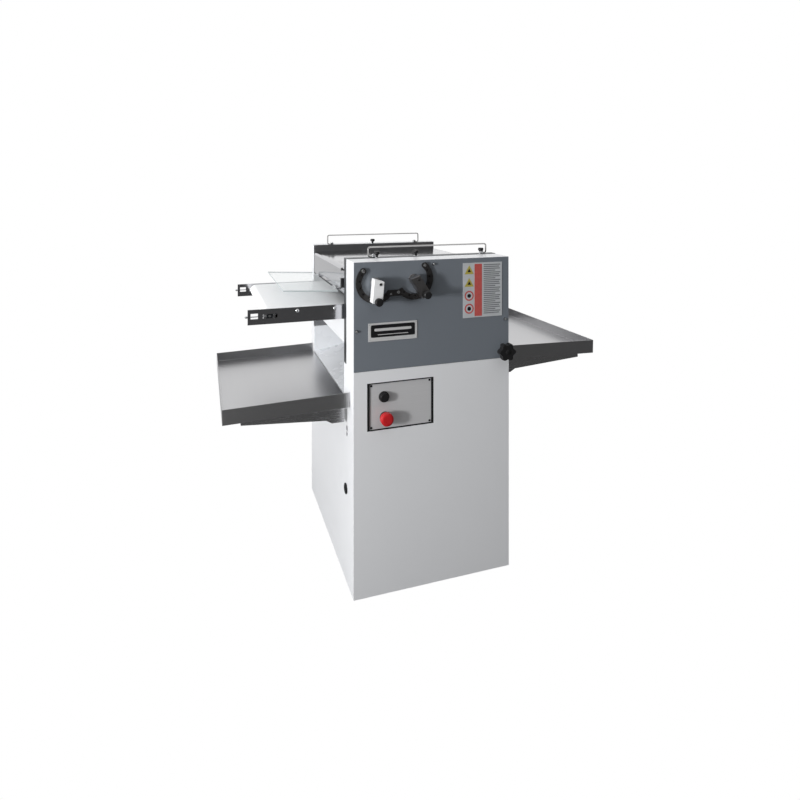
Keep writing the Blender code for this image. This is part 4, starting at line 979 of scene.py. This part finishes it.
def motor_details():
    """Cooling fins and terminal box on the motor inside the cabinet."""
    low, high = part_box("motor")
    x, z = (low.x + high.x) / 2, (low.z + high.z) / 2
    radius = (high.x - low.x) / 2
    start, end = low.y + 0.016, high.y - 0.045
    fins = []
    fin_count = 28
    for index in range(fin_count):
        angle = 2 * math.pi * index / fin_count
        if abs(math.sin(angle) - 1.0) < 0.10:
            continue
        fin = box_bm((radius - 0.001, start, -0.0012), (radius + 0.008, end, 0.0012))
        fins.append((fin, Matrix.Translation((x, 0.0, z)) @ Matrix.Rotation(-angle, 4, "Y")))
    add_piece("motor_fins", merged(fins), "enamel", "machine")
    box_low = (x - 0.040, start + 0.030, z + radius - 0.004)
    box_high = (x + 0.040, start + 0.120, z + radius + 0.034)
    add_piece("motor_terminal_box", box_bm(box_low, box_high), "enamel", "machine", 0.003)


# ---------------------------------------------------------------- camera, light and floor


def add_camera():
    """Camera height, distance and turn as a person standing at the machine's left front corner sees it."""
    data = bpy.data.cameras.new("camera")
    data.lens = 26.23
    data.sensor_width = 36.0
    data.shift_y = -0.2602
    data.clip_end = 100.0
    camera = bpy.data.objects.new("camera", data)
    camera.location = (-0.6995, -2.0726, 1.2393)
    camera.rotation_euler = (math.radians(90), 0.0, math.radians(-18.748))
    bpy.context.scene.collection.objects.link(camera)
    bpy.context.scene.camera = camera


def add_floor():
    bm = bmesh.new()
    bmesh.ops.create_grid(bm, x_segments=1, y_segments=1, size=30.0)
    mesh = bpy.data.meshes.new("floor")
    bm.to_mesh(mesh)
    bm.free()
    floor = bpy.data.objects.new("floor", mesh)
    floor.location.z = -0.0005
    bpy.context.scene.collection.objects.link(floor)
    mesh.materials.append(pale_floor())


def pale_floor():
    """A matt floor without a visible edge; only behind and far left does it give back much light."""
    material, tree, shader = new_material("floor", (0.75, 0.75, 0.75), 0.9)
    shader.inputs["Specular IOR Level"].default_value = 0.0
    place = tree.nodes.new("ShaderNodeTexCoord")
    split = tree.nodes.new("ShaderNodeSeparateXYZ")
    tree.links.new(place.outputs["Object"], split.inputs["Vector"])
    behind = spread(tree, split.outputs["Y"], 0.0, 1.0, 0.5, 2.5)
    aside = spread(tree, split.outputs["X"], 1.0, 0.0, -2.4, -0.9)
    pale = arithmetic(tree, "MAXIMUM", behind, aside)
    tone = mixed(tree, pale, (0.09, 0.09, 0.09), (0.75, 0.75, 0.75))
    tree.links.new(tone, shader.inputs["Base Color"])
    glow = tree.nodes.new("ShaderNodeEmission")
    blend = tree.nodes.new("ShaderNodeMixShader")
    path = tree.nodes.new("ShaderNodeLightPath")
    tree.links.new(path.outputs["Is Camera Ray"], blend.inputs["Fac"])
    tree.links.new(shader.outputs["BSDF"], blend.inputs[1])
    tree.links.new(glow.outputs["Emission"], blend.inputs[2])
    tree.links.new(blend.outputs["Shader"], tree.nodes["Material Output"].inputs["Surface"])
    return material


def add_key_light():
    """One small light far out at the left, level with the levers, for long soft shadows to the right."""
    data = bpy.data.lights.new("key", "AREA")
    data.shape = "RECTANGLE"
    data.size = 0.35
    data.size_y = 0.55
    data.energy = 92.0
    key = bpy.data.objects.new("key", data)
    place = Vector((-3.3, -1.8, 1.05))
    target = Vector((0.0, -0.2, 0.8))
    key.location = place
    key.rotation_euler = (target - place).to_track_quat("-Z", "Y").to_euler()
    bpy.context.scene.collection.objects.link(key)


def add_world():
    """A studio with a bright ceiling, back wall and left wall, and little light from the operator's side."""
    world = bpy.data.worlds.new("studio")
    bpy.context.scene.world = world
    world.use_nodes = True
    tree = world.node_tree
    background = tree.nodes["Background"]
    place = tree.nodes.new("ShaderNodeTexCoord")
    split = tree.nodes.new("ShaderNodeSeparateXYZ")
    tree.links.new(place.outputs["Generated"], split.inputs["Vector"])
    rear = spread(tree, split.outputs["Y"], 0.06, 0.95, -0.30, 0.35)
    side = spread(tree, split.outputs["X"], 1.70, 0.0, -0.90, -0.45)
    walls = arithmetic(tree, "MAXIMUM", rear, side)
    height = spread(tree, split.outputs["Z"], 0.0, 1.0, 0.45, 0.80)
    overhead = arithmetic(tree, "MULTIPLY", height, 1.05)
    kept = arithmetic(tree, "MULTIPLY", walls, arithmetic(tree, "SUBTRACT", 1.0, height))
    light = arithmetic(tree, "ADD", kept, overhead)
    path = tree.nodes.new("ShaderNodeLightPath")
    seen = path.outputs["Is Camera Ray"]
    strength = arithmetic(tree, "MULTIPLY_ADD", arithmetic(tree, "SUBTRACT", 1.0, light), seen, light)
    tree.links.new(strength, background.inputs["Strength"])
    background.inputs["Color"].default_value = (1.0, 1.0, 1.0, 1.0)


def set_view():
    """Plain display transform, so that the white paint stays neutral."""
    bpy.context.scene.view_settings.view_transform = "Standard"
    bpy.context.scene.view_settings.look = "None"


# ---------------------------------------------------------------- build


add_camera()
dress_nodes()
panel_screws()
quadrant_screws()
hub_discs()
lever_details()
star_knob_cap()
nameplate_face()
placard_print()
control_details()
rail_fittings()
conveyor_screws()
guard_edges()
hood_screw()
gland_seal()
back_screws()
motor_details()
add_floor()
add_key_light()
add_world()
set_view()
